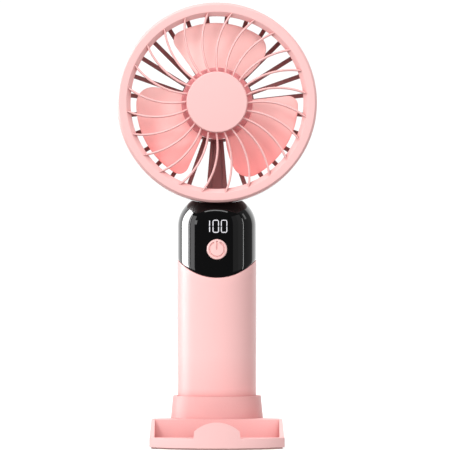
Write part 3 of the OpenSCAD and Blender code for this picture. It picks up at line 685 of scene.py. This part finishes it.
def rear_grille():
    """The motor's seat, with a dish and a groove in its back and a wall in front, the bars, duct and rim."""
    dish = GRILLE_REAR + DISH_DEPTH
    seat = round_corners(
        [(0, dish), (DISH_R, dish), (DISH_R + 0.6, GRILLE_REAR), (GROOVE_R - 0.3, GRILLE_REAR),
         (GROOVE_R, dish), (GROOVE_R + 0.3, GRILLE_REAR), (SEAT_DISC_R, GRILLE_REAR),
         (SEAT_DISC_R, GRILLE_FRONT), (MOTOR_WALL_R, GRILLE_FRONT), (MOTOR_WALL_R, MOTOR_WALL_FRONT),
         (MOTOR_WALL_INNER_R, MOTOR_WALL_FRONT), (MOTOR_WALL_INNER_R, GRILLE_FRONT), (0, GRILLE_FRONT)],
        [0, 0.5, 0.3, 0.15, 0.1, 0.15, 0.9, 0.4, 0.05, 0.3, 0.3, 0.3, 0], steps=4)
    rim = round_corners([(RIM_INNER_R, RIM_REAR), (RIM_R, RIM_REAR), (RIM_R, RIM_FRONT),
                         (RIM_INNER_R, RIM_FRONT)], [0.3] * 4, steps=3)
    parts = [lathe(seat, segments=120), lathe(rim, segments=200)]
    middle = REAR_BARS // 2
    at_duct = (middle - 1, middle)
    for k in range(REAR_BARS):
        if k not in at_duct:
            parts.append(rear_bar(90 + 360 / REAR_BARS * (k + 0.5)))
    parts += duct()
    obj = new_object("rear_grille_piece", parts, HEAD)
    finish_piece(obj, "fan", MAROON, "maroon", "rear_grille", "duct_cover")


# ---- Impeller ----

HUB_R = 18.1
HUB_FRONT = 11.0
HUB_REAR = -5.0
TIP_R = 41.2
BLADES = 3
FIRST_BLADE = 85.0
BLADE_SPAN = 82.0
BLADE_MIDDLE = 2.0
BLADE_RISE = 11.0
BLADE_BULGE = 0.9
BLADE_LEAD = 0.03
BLADE_T = 1.4
BLADE_ROOT_SHARE = 1.15
BLADE_THINNING = 0.35
BLADE_EDGE = 0.8
REAR_TIP_ROUND = 11.0
FRONT_TIP_ROUND = 5.5
NO_EDGE = 1e-6
ROTOR_SHARP_ANGLE = 50


def blade(angle):
    """A twisted blade that climbs round the hub from its rear edge to its front edge and has round edges."""
    across, along = 44, 22
    places = [-math.cos(math.pi * i / across) for i in range(across + 1)]
    reach = [math.sin(math.pi / 2 * j / along) for j in range(along + 1)]
    root = HUB_R - 0.8
    half_arc = math.radians(BLADE_SPAN / 2)
    verts, front, back = [], {}, {}
    for i, u in enumerate(places):
        left = TIP_R * half_arc * (1 - abs(u))
        tip = TIP_R
        corner = REAR_TIP_ROUND if u < 0 else FRONT_TIP_ROUND
        if left < corner:
            tip = TIP_R - corner + math.sqrt(max(0, corner**2 - (corner - left) ** 2))
        for j, v in enumerate(reach):
            r = root + (tip - root) * v
            a = u * half_arc * (1 + BLADE_LEAD * math.sin(math.pi * v) * (u < 0))
            z = BLADE_MIDDLE + BLADE_RISE / 2 * u + BLADE_BULGE * (1 - u * u)
            edge = min(r * half_arc * (1 - abs(u)), tip - r)
            full = BLADE_T * (BLADE_ROOT_SHARE - BLADE_THINNING * v) / 2
            thick = full * math.sqrt(max(0, 1 - (1 - min(1, edge / BLADE_EDGE)) ** 2))
            place = (r * math.cos(a), r * math.sin(a))
            if edge < NO_EDGE:
                front[i, j] = back[i, j] = len(verts)
                verts.append((*place, z))
                continue
            front[i, j] = len(verts)
            verts.append((*place, z + thick))
            back[i, j] = len(verts)
            verts.append((*place, z - thick))
    faces = []
    for i in range(across):
        for j in range(along):
            for grid, order in ((front, 1), (back, -1)):
                corners = [grid[i, j], grid[i, j + 1], grid[i + 1, j + 1], grid[i + 1, j]]
                corners = list(dict.fromkeys(corners))
                if len(corners) > 2:
                    faces.append(tuple(corners[::order]))
    for i in range(across):
        corners = list(dict.fromkeys([front[i, 0], front[i + 1, 0], back[i + 1, 0], back[i, 0]]))
        if len(corners) > 2:
            faces.append(tuple(corners))
    return turned((verts, faces), angle)


def impeller():
    """The hub, which is a cup over the motor, and the blades."""
    inner_r, inner_front = 16.3, 8.7
    hub = round_corners(
        [(0, HUB_FRONT), (HUB_R, HUB_FRONT), (HUB_R, HUB_REAR), (inner_r, HUB_REAR), (inner_r, inner_front),
         (0, inner_front)], [0, 1.2, 0.4, 0.3, 0.4, 0], steps=6)
    obj = new_object("hub_piece", [lathe(hub, segments=160)], HEAD, ROTOR_SHARP_ANGLE)
    finish_piece(obj, "rotor", HUB, "rose_blade", "impeller")
    blades = [blade(FIRST_BLADE + 360 / BLADES * k) for k in range(BLADES)]
    obj = new_object("blades_piece", blades, HEAD, ROTOR_SHARP_ANGLE)
    finish_piece(obj, "rotor", BLADE, "rose_blade", "impeller")


# ---- Neck and handle ----

SEAM_Z = 85.3
SEAM_R = 26.1
SEAM_GAP = 0.15
SADDLE_GAP = 0.4
BUTTON_GAP = 0.15
STEM_GAP = 0.2
NECK_PLAIN_Z = 106
SLEEVE_PLAIN_Z = 66
SHOULDER_Z = 111.6
SHOULDER_R = 15.3
BUTTON_R = 5.15
BUTTON_PLACE = Matrix.Translation((0, 0, BUTTON_Z))


def follow_seam(part, near, far):
    """Lifts a part by the seam's own rise, fully as far as a near height and not at all past a far one."""

    def change(x, y, z):
        """A vertex lifted by its share."""
        share = min(1, max(0, (far - z) / (far - near)))
        return (x, y, z + share * (SEAM_R - math.sqrt(SEAM_R**2 - x**2)))

    return bent(part, change)


def neck_cover():
    """The glossy cover over the top of the handle, with holes for the button and the head's stem."""
    centre = HANDLE_R - SHOULDER_R
    bottom = SEAM_Z + SEAM_GAP
    inner = SHOULDER_R - WALL
    rim = round_corners(
        [(HANDLE_R - WALL, 100), (HANDLE_R - WALL, bottom), (HANDLE_R, bottom), (HANDLE_R, 100)],
        [0, 0.1, 0.35, 0], steps=5)[1:-1]
    profile = rim + [(HANDLE_R, z) for z in (88, 92, 96, 101, NECK_PLAIN_Z)]
    profile += arc(centre, SHOULDER_Z, SHOULDER_R, 0, 90, steps=40) + [(0, SHOULDER_Z + SHOULDER_R)]
    profile += [(0, SHOULDER_Z + inner)] + arc(centre, SHOULDER_Z, inner, 90, 0, steps=16)
    body = follow_seam(lathe(profile, segments=240), bottom + 1, NECK_PLAIN_Z)
    obj = new_object("neck_cover_piece", [body])
    saddle = rod(HEAD_R + SADDLE_GAP, -60, 60, segments=360)
    combine(obj, new_object("saddle", [saddle], HEAD), "DIFFERENCE")
    button_hole = rod(BUTTON_R + BUTTON_GAP, 8, 30, segments=96)
    combine(obj, new_object("button_hole", [button_hole], BUTTON_PLACE @ FACING_FRONT), "DIFFERENCE")
    stem_hole = rod(STEM_R + STEM_GAP, 100, 140, segments=64)
    combine(obj, new_object("stem_hole", [stem_hole], STEM_PLACE), "DIFFERENCE")
    clean(obj)
    finish_piece(obj, "fan", BLACK, "gloss_black", "neck_cover")


def wrap(part, radius):
    """Stands a flat part (x right, y up, z outwards) on the front of the handle's round wall."""

    def change(x, y, z):
        """A vertex carried back to the wall, with z as its height above the wall."""
        return (x, -math.sqrt((radius + z) ** 2 - x * x), y)

    return bent(part, change)


DIGIT_HIGH = digits_high.z - digits_low.z
DIGIT_PLACE = Matrix.Translation((0, 0, (digits_high.z + digits_low.z) / 2))
DIGIT_HALF = 3.25 / 2
DIGIT_STROKE = 0.48
DIGIT_SPLIT = 0.42
DIGIT_ROUND = 1.1
DIGIT_INNER_ROUND = 0.4
DIGIT_SUNK = -0.3
DIGIT_RISE = 0.03
ONE_LEFT = -3.95
ONE_RIGHT = -3.45
ONE_SHIFT = 0.12
ONE_SHORTENING = 0.3
ONE_ROUND = 0.12
ZERO_MIDDLES = (-0.6, 3.6)


def one_half(side):
    """The upper or the lower segment of a 1."""
    middle = side * (DIGIT_HIGH / 4 - ONE_SHIFT)
    half = DIGIT_HIGH / 4 - ONE_SHORTENING
    low, high = middle - half, middle + half
    corners = [(ONE_LEFT, low), (ONE_RIGHT, low), (ONE_RIGHT, high), (ONE_LEFT, high)]
    return round_corners(corners, [ONE_ROUND] * 4, steps=3)


def zero_half(middle, side):
    """The upper or the lower half of a 0, which is an arch with round shoulders."""
    left, right = middle - DIGIT_HALF, middle + DIGIT_HALF
    top, foot = DIGIT_HIGH / 2, DIGIT_SPLIT / 2
    inset = DIGIT_STROKE + DIGIT_INNER_ROUND
    outer = arc(right - DIGIT_ROUND, top - DIGIT_ROUND, DIGIT_ROUND, 0, 90, steps=8)
    outer += arc(left + DIGIT_ROUND, top - DIGIT_ROUND, DIGIT_ROUND, 90, 180, steps=8)
    inner = arc(left + inset, top - inset, DIGIT_INNER_ROUND, 180, 90, steps=6)
    inner += arc(right - inset, top - inset, DIGIT_INNER_ROUND, 90, 0, steps=6)
    outline = [(right, foot), *outer, (left, foot), (left + DIGIT_STROKE, foot), *inner,
               (right - DIGIT_STROKE, foot)]
    return [(x, side * y) for x, y in outline]


def display_digits():
    """The digits 1, 0 and 0, each split at mid height as lit segments are."""
    outlines = [one_half(side) for side in (-1, 1)]
    outlines += [zero_half(middle, side) for middle in ZERO_MIDDLES for side in (-1, 1)]
    parts = [wrap(prism(outline, DIGIT_SUNK, DIGIT_RISE), HANDLE_R) for outline in outlines]
    obj = new_object("display_digits_piece", parts, DIGIT_PLACE)
    finish_piece(obj, "fan", DIGITS, "display_white", "display_digits")


BUTTON_FRONT_R = 20.3
BUTTON_BACK = 16.2
BUTTON_EDGE = 0.55
BUTTON_CROWDING = 1.15
BUTTON_SHARP_ANGLE = 60
FLANGE_R = 6.2
FLANGE_BACK = 16.1
FLANGE_FRONT = 16.9
SYMBOL_R = 3.7
SYMBOL_OPENING = 24
SYMBOL_GROOVE = 0.42
SYMBOL_DEPTH = 0.5
SYMBOL_BAR_LOW = 0.3
SYMBOL_BAR_HIGH = SYMBOL_R + 0.1


def groove_depth(x, y):
    """Depth of the engraved symbol: a ring that is open at its top, and an upright bar in the opening."""
    off_ring = abs(math.hypot(x, y) - SYMBOL_R)
    off_bar = math.hypot(x, max(0, y - SYMBOL_BAR_HIGH, SYMBOL_BAR_LOW - y))
    in_opening = abs(math.degrees(math.atan2(x, y))) <= SYMBOL_OPENING
    near = off_bar if in_opening else min(off_ring, off_bar)
    return SYMBOL_DEPTH * math.sqrt(max(0, 1 - (near / SYMBOL_GROOVE) ** 2))


def button():
    """The power button: a disc that follows the neck's curve, with an engraved symbol and a flange."""
    rings, spokes = 64, 144
    verts, faces = [(0, -BUTTON_FRONT_R, 0)], []
    for i in range(1, rings + 1):
        r = BUTTON_R * (1 - (1 - i / rings) ** BUTTON_CROWDING)
        edge = max(0, (r - (BUTTON_R - BUTTON_EDGE)) / BUTTON_EDGE)
        rounding = BUTTON_EDGE * (1 - math.sqrt(max(0, 1 - edge * edge)))
        for k in range(spokes):
            a = 2 * math.pi * k / spokes
            x, y = r * math.cos(a), r * math.sin(a)
            drop = rounding + groove_depth(x, y)
            verts.append((x, -math.sqrt(BUTTON_FRONT_R**2 - x * x) + drop, y))
    for k in range(spokes):
        a = 2 * math.pi * k / spokes
        verts.append((BUTTON_R * math.cos(a), -BUTTON_BACK, BUTTON_R * math.sin(a)))
    faces += [(0, 1 + (k + 1) % spokes, 1 + k) for k in range(spokes)]
    for i in range(rings):
        a, b = 1 + i * spokes, 1 + (i + 1) * spokes
        faces += [(a + k, a + (k + 1) % spokes, b + (k + 1) % spokes, b + k) for k in range(spokes)]
    faces.append(tuple(range(1 + rings * spokes, 1 + (rings + 1) * spokes)))
    flange = moved(rod(FLANGE_R, FLANGE_BACK, FLANGE_FRONT, segments=64), FACING_FRONT)
    obj = new_object("button_piece", [(verts, faces), flange], BUTTON_PLACE, BUTTON_SHARP_ANGLE)
    finish_piece(obj, "button", KEY_CAP, "pale_pink", "button_cap")


PORT_PLACE = Matrix.Translation((0, 0, 36.0))
PORT_WIDTH = 9.4
PORT_HEIGHT = 3.6


def round_slot(width, height):
    """A flat slot outline with round ends."""
    r = height / 2
    return arc(width / 2 - r, 0, r, -90, 90, steps=10) + arc(-width / 2 + r, 0, r, 90, 270, steps=10)


def handle_sleeve():
    """The long pink sleeve, with the opening of the charging port in its back."""
    inner = HANDLE_R - WALL
    rim = round_corners([(HANDLE_R, 60), (HANDLE_R, SEAM_Z), (inner, SEAM_Z), (inner, 60)],
                        [0, 0.6, 0.1, 0], steps=6)[1:-1]
    foot = round_corners([(inner, 60), (inner, SLEEVE_Z), (HANDLE_R, SLEEVE_Z), (HANDLE_R, 60)],
                         [0, 0.1, 0.2, 0], steps=4)[1:-1]
    profile = foot + [(HANDLE_R, z) for z in (20, 40, 60, 70, 76, 82)] + rim
    body = follow_seam(lathe(profile, segments=240), SEAM_Z - 1, SLEEVE_PLAIN_Z)
    obj = new_object("handle_sleeve_piece", [body])
    opening = prism(round_slot(PORT_WIDTH, PORT_HEIGHT), 10, 30)
    combine(obj, new_object("port_opening", [opening], PORT_PLACE @ FACING_BACK), "DIFFERENCE")
    smooth(obj.data)
    finish_piece(obj, "fan", SLEEVE, "pink_shell", "handle_sleeve")


def bottom_cap():
    """The round cap under the sleeve, with a low wall that enters it."""
    top = SLEEVE_Z - 0.05
    wall_r, wall_inner_r, wall_top = 18.1, 16.5, top + 4
    profile = round_corners(
        [(0, FOOT_Z), (HANDLE_R, FOOT_Z), (HANDLE_R, top), (wall_r, top), (wall_r, wall_top),
         (wall_inner_r, wall_top), (wall_inner_r, top), (0, top)],
        [0, 0.8, 0.2, 0.1, 0.3, 0.3, 0.2, 0], steps=5)
    obj = new_object("bottom_cap_piece", [lathe(profile, segments=200)])
    finish_piece(obj, "fan", PINK, "pink_shell", "bottom_cap")


# ---- Stand ----

BASE_HALF = (stand_high.x - stand_low.x) / 2
BASE_TOP = 14.2
BASE_REAR = -5.0
BASE_CORNER = 12.0
SIDE_TAPER = 1.2
FRONT_CORNER_IN = 1.2
FRONT_CORNER_UP = 1.3
FRONT_ARC_R = 47.0
FRONT_ARC_Y = -4.0
SLOT_BACK = -26.0
SLOT_FRONT = -35.0
SLOT_FLOOR = 3.6
SLOT_HALF = BASE_HALF - 2.6
LIP = 5.6
COLLAR_FOOT_R = 23.5
COLLAR_TOP_R = 22.4
COLLAR_TOP = stand_high.z
SOCKET_R = HANDLE_R + 0.3
SOCKET_FLOOR = 5.2
TONGUE_HALF = 12.3
TONGUE_TOP = 13.6
TONGUE_LOW = 1.0
TONGUE_ARC_R = 16.3
TONGUE_CROWN = 4.6
TONGUE_T = 2.5
PAD_INSET = 1.0
LIP_ROUND = 1.7
STAND_EDGE = 0.55
TOUCHING = 0.05

# Cutting tools end well outside the stand.
ABOVE = 40.0
HIGH_ABOVE = 60.0
BEFORE = -90.0
BESIDE = 60.0


def plate_outline():
    """The base plate seen from above: an arc in front, straight sides and round rear corners."""
    swing = math.degrees(math.asin((BASE_HALF - FRONT_CORNER_IN) / FRONT_ARC_R))
    front = arc(0, FRONT_ARC_Y, FRONT_ARC_R, -90 - swing, -90 + swing, steps=72)
    side_y = front[-1][1] + FRONT_CORNER_UP
    rear_half = BASE_HALF - SIDE_TAPER
    right = [(BASE_HALF - 0.35, side_y - 0.75), (BASE_HALF, side_y), (rear_half, SLOT_BACK + 4)]
    right += arc(rear_half - BASE_CORNER, BASE_REAR - BASE_CORNER, BASE_CORNER, 0, 90, steps=20)
    left = [(-x, y) for x, y in reversed(right)]
    return front + right + left


def along_x(outline, half):
    """An outline of (y, z) points carried along x."""
    return loft([[(x, y, z) for y, z in outline] for x in (-half, half)])


def along_y(outline, low, high):
    """An outline of (x, z) points carried along y."""
    return loft([[(x, y, z) for x, z in outline] for y in (low, high)])


def tongue_outline():
    """The tongue seen from the front."""
    side_z = TONGUE_TOP - TONGUE_CROWN
    centre = TONGUE_TOP - TONGUE_ARC_R
    half_top = TONGUE_HALF - 1
    swing = math.degrees(math.asin(half_top / TONGUE_ARC_R))
    top = arc(0, centre, TONGUE_ARC_R, 90 - swing, 90 + swing, steps=24)
    return [(-TONGUE_HALF, TONGUE_LOW), (TONGUE_HALF, TONGUE_LOW), (half_top, side_z), *top,
            (-half_top, side_z)]


def on_lip_rim(x, y, z):
    """True on the upper front edge of the lip."""
    off_arc = abs(math.hypot(x, y - FRONT_ARC_Y) - FRONT_ARC_R)
    off_top = abs(z - LIP)
    return off_top < TOUCHING and off_arc < TOUCHING and y < SLOT_FRONT - 1


def stand_body():
    """The plate with its low lip and phone slot, the collar round the handle and the tongue in front."""
    obj = new_object("stand_body_piece", [prism(plate_outline(), PAD_T, BASE_TOP)])
    wedge = [(SLOT_FRONT, LIP), (SLOT_BACK, BASE_TOP), (SLOT_BACK, ABOVE), (BEFORE, ABOVE), (BEFORE, LIP)]
    combine(obj, new_object("wedge", [along_x(wedge, BESIDE)]), "DIFFERENCE")
    round_edges(obj, on_lip_rim, LIP_ROUND, segments=6)
    collar = lathe(
        [(0, PAD_T), (COLLAR_FOOT_R, PAD_T), (COLLAR_FOOT_R, BASE_TOP), (COLLAR_TOP_R, COLLAR_TOP),
         (0, COLLAR_TOP)], segments=128)
    combine(obj, new_object("collar", [collar]), "UNION")
    tongue = new_object("tongue", [along_y(tongue_outline(), -60, -40)])
    back_r = FRONT_ARC_R - TONGUE_T
    front = lathe([(back_r, 0), (FRONT_ARC_R, 0), (FRONT_ARC_R, ABOVE), (back_r, ABOVE)], segments=288)
    combine(tongue, new_object("front", [front], Matrix.Translation((0, FRONT_ARC_Y, 0))), "INTERSECT")
    combine(obj, tongue, "UNION")
    slot = [(SLOT_FRONT, SLOT_FLOOR), (SLOT_BACK, SLOT_FLOOR), (SLOT_BACK, ABOVE), (SLOT_FRONT, ABOVE)]
    combine(obj, new_object("slot", [along_x(slot, SLOT_HALF)]), "DIFFERENCE")
    socket = rod(SOCKET_R, SOCKET_FLOOR, HIGH_ABOVE, segments=128)
    combine(obj, new_object("socket", [socket]), "DIFFERENCE")
    soften(obj, STAND_EDGE, angle=30, segments=4)
    finish_piece(obj, "stand", PALE, "pale_pink", "stand_body")


def anti_slip_pad():
    """The thin pad under the plate and the collar, set in from their edges."""
    plate = prism(offset_outline(plate_outline(), PAD_INSET), 0, PAD_T, edge=0.15, steps=2)
    disc = rod(COLLAR_FOOT_R - PAD_INSET, 0, PAD_T, segments=96)
    obj = new_object("anti_slip_pad_piece", [plate, disc])
    finish_piece(obj, "stand", RUBBER, "grip_rubber", "anti_slip_pad")


front_grille()
centre_cap()
rear_shell()
rear_grille()
impeller()
neck_cover()
display_digits()
button()
handle_sleeve()
bottom_cap()
stand_body()
anti_slip_pad()


# ---- Stage, lights and camera, in metres ----

WHITE = (1, 1, 1, 1)
FLOOR_REACH = 4000
FLOOR_Z = -0.05
NECK = Vector((0, 0, 0.1))


def floor():
    """A plain pale floor, just under the object."""
    corners = [(x, y, FLOOR_Z) for x, y in ((-1, -1), (1, -1), (1, 1), (-1, 1))]
    corners = [(x * FLOOR_REACH, y * FLOOR_REACH, z) for x, y, z in corners]
    obj = new_object("floor", [(corners, [(0, 1, 2, 3)])])
    material = bpy.data.materials.new("floor")
    material.use_nodes = True
    shader = material.node_tree.nodes["Principled BSDF"]
    shader.inputs["Base Color"].default_value = (0.96, 0.96, 0.96, 1)
    shader.inputs["Roughness"].default_value = 0.7
    shader.inputs["Specular IOR Level"].default_value = 0.0
    shader.inputs["Emission Color"].default_value = WHITE
    shader.inputs["Emission Strength"].default_value = 0.32
    obj.data.materials.append(material)
    obj.visible_diffuse = False
    obj.visible_glossy = False


def around(azimuth, elevation, distance):
    """A place round the neck: azimuth 0 is in front, 90 is to the right."""
    a, e = math.radians(azimuth), math.radians(elevation)
    away = Vector((math.sin(a) * math.cos(e), -math.cos(a) * math.cos(e), math.sin(e)))
    return NECK + away * distance


def aim(obj, target):
    """Turns a light or a camera towards a place."""
    obj.rotation_euler = (target - obj.location).to_track_quat("-Z", "Y").to_euler()


def softbox(name, azimuth, elevation, distance, width, height, power, mirrored=False):
    """A rectangular area light aimed at the neck. Reflections show it only when it is mirrored."""
    light = bpy.data.lights.new(name, "AREA")
    light.shape = "RECTANGLE"
    light.size = width
    light.size_y = height
    light.energy = power
    obj = bpy.data.objects.new(name, light)
    obj.location = around(azimuth, elevation, distance)
    aim(obj, NECK)
    bpy.context.scene.collection.objects.link(obj)
    obj.visible_camera = False
    obj.visible_glossy = mirrored


def card(name, azimuth, distance, width, low, high, strength, shade=False):
    """An upright card, as bright as its strength, that only reflections show.

    With shade it also stands in the way of the room's light on matt surfaces.
    """
    centre = around(azimuth, 0, distance)
    a = math.radians(azimuth)
    side = Vector((math.cos(a), math.sin(a), 0)) * width / 2
    base = Vector((centre.x, centre.y, 0))
    bottom, top = Vector((0, 0, low)), Vector((0, 0, high))
    corners = [base - side + bottom, base + side + bottom, base + side + top, base - side + top]
    obj = new_object(name, [([tuple(c / MM) for c in corners], [(0, 1, 2, 3)])])
    material = bpy.data.materials.new(name)
    material.use_nodes = True
    nodes, links = material.node_tree.nodes, material.node_tree.links
    nodes.clear()
    output = nodes.new("ShaderNodeOutputMaterial")
    emission = nodes.new("ShaderNodeEmission")
    emission.inputs["Color"].default_value = WHITE
    emission.inputs["Strength"].default_value = strength
    links.new(emission.outputs["Emission"], output.inputs["Surface"])
    obj.data.materials.append(material)
    obj.visible_camera = False
    obj.visible_diffuse = shade
    obj.visible_shadow = False


def world():
    """White behind the object, with more light from the left and above. Its front reflects as dark."""
    scene_world = bpy.data.worlds.new("studio")
    scene_world.use_nodes = True
    tree = scene_world.node_tree
    tree.nodes.clear()
    direction = tree.nodes.new("ShaderNodeTexCoord")
    split = tree.nodes.new("ShaderNodeSeparateXYZ")
    tree.links.new(direction.outputs["Generated"], split.inputs["Vector"])
    ray = tree.nodes.new("ShaderNodeLightPath")

    def background(strength):
        """White of a constant or a changing strength."""
        shader = tree.nodes.new("ShaderNodeBackground")
        shader.inputs["Color"].default_value = WHITE
        put(tree, shader.inputs["Strength"], strength)
        return shader.outputs["Background"]

    def for_rays(kind, others, these):
        """One shader for a kind of ray and another shader for the others."""
        mix = tree.nodes.new("ShaderNodeMixShader")
        tree.links.new(ray.outputs[kind], mix.inputs["Fac"])
        tree.links.new(others, mix.inputs[1])
        tree.links.new(these, mix.inputs[2])
        return mix.outputs["Shader"]

    fill = tree.nodes.new("ShaderNodeMath")
    fill.operation = "MULTIPLY"
    tree.links.new(ranged(tree, split.outputs["X"], (-1, 1), (0.80, 0.52)), fill.inputs[0])
    tree.links.new(ranged(tree, split.outputs["Z"], (-1, 1), (0.22, 1.38)), fill.inputs[1])
    behind = ranged(tree, split.outputs["Y"], (0.2, 0.75), (0.1, 1.75), "SMOOTHSTEP")
    reflected = for_rays("Is Glossy Ray", background(fill.outputs["Value"]), background(behind))
    seen = for_rays("Is Camera Ray", reflected, background(1.05))
    output = tree.nodes.new("ShaderNodeOutputWorld")
    tree.links.new(seen, output.inputs["Surface"])
    bpy.context.scene.world = scene_world


SENSOR_MM = 36
LENS_MM = 282.4
CAMERA_PLACE = (0, -1.8, 0.0932)
CAMERA_TARGET = Vector((0.0041, 0, 0.1121))


def camera():
    """A camera in front, a little under half the object's height, looking very slightly up and right."""
    data = bpy.data.cameras.new("camera")
    data.sensor_width = SENSOR_MM
    data.lens = LENS_MM
    obj = bpy.data.objects.new("camera", data)
    obj.location = CAMERA_PLACE
    aim(obj, CAMERA_TARGET)
    bpy.context.scene.collection.objects.link(obj)
    bpy.context.scene.camera = obj


floor()
world()
camera()

# Softboxes: azimuth, elevation, distance, width, height and power.
softbox("top_strip", -4, 61, 1.3, 1.4, 0.09, 2.1, mirrored=True)
softbox("left_key", -42, 28, 1.6, 0.35, 0.35, 9.5)
softbox("left_side", -92, 8, 1.6, 0.6, 0.9, 3.0)
softbox("back_fill", 165, 22, 1.6, 0.8, 0.8, 9.0)
softbox("front_fill", 14, 12, 1.6, 0.4, 0.4, 6.5)

# Cards: azimuth, distance, width, lower and upper height, and strength.
card("left_card", -108, 1.1, 0.62, 0.0, 0.95, 19.0)
card("left_line", -87.4, 1.1, 0.05, 0.0, 0.75, 8.0)
card("left_thin", -76, 1.1, 0.28, 0.0, 0.75, 2.5)
card("left_spot", -65, 1.1, 0.15, 0.2, 0.46, 3.4)
card("right_spot", 98, 1.0, 0.14, 0.42, 0.74, 2.0)
card("right_flag", 106, 1.1, 0.78, 0.0, 1.2, 0.25, shade=True)
card("right_line", 83.5, 1.0, 0.032, 0.0, 0.5, 7.8)
card("right_glow", 64, 1.2, 0.70, 0.0, 0.9, 0.36)
card("right_glow_near", 73, 1.15, 0.34, 0.0, 0.9, 0.45)
bpy.context.scene.view_settings.view_transform = "Standard"
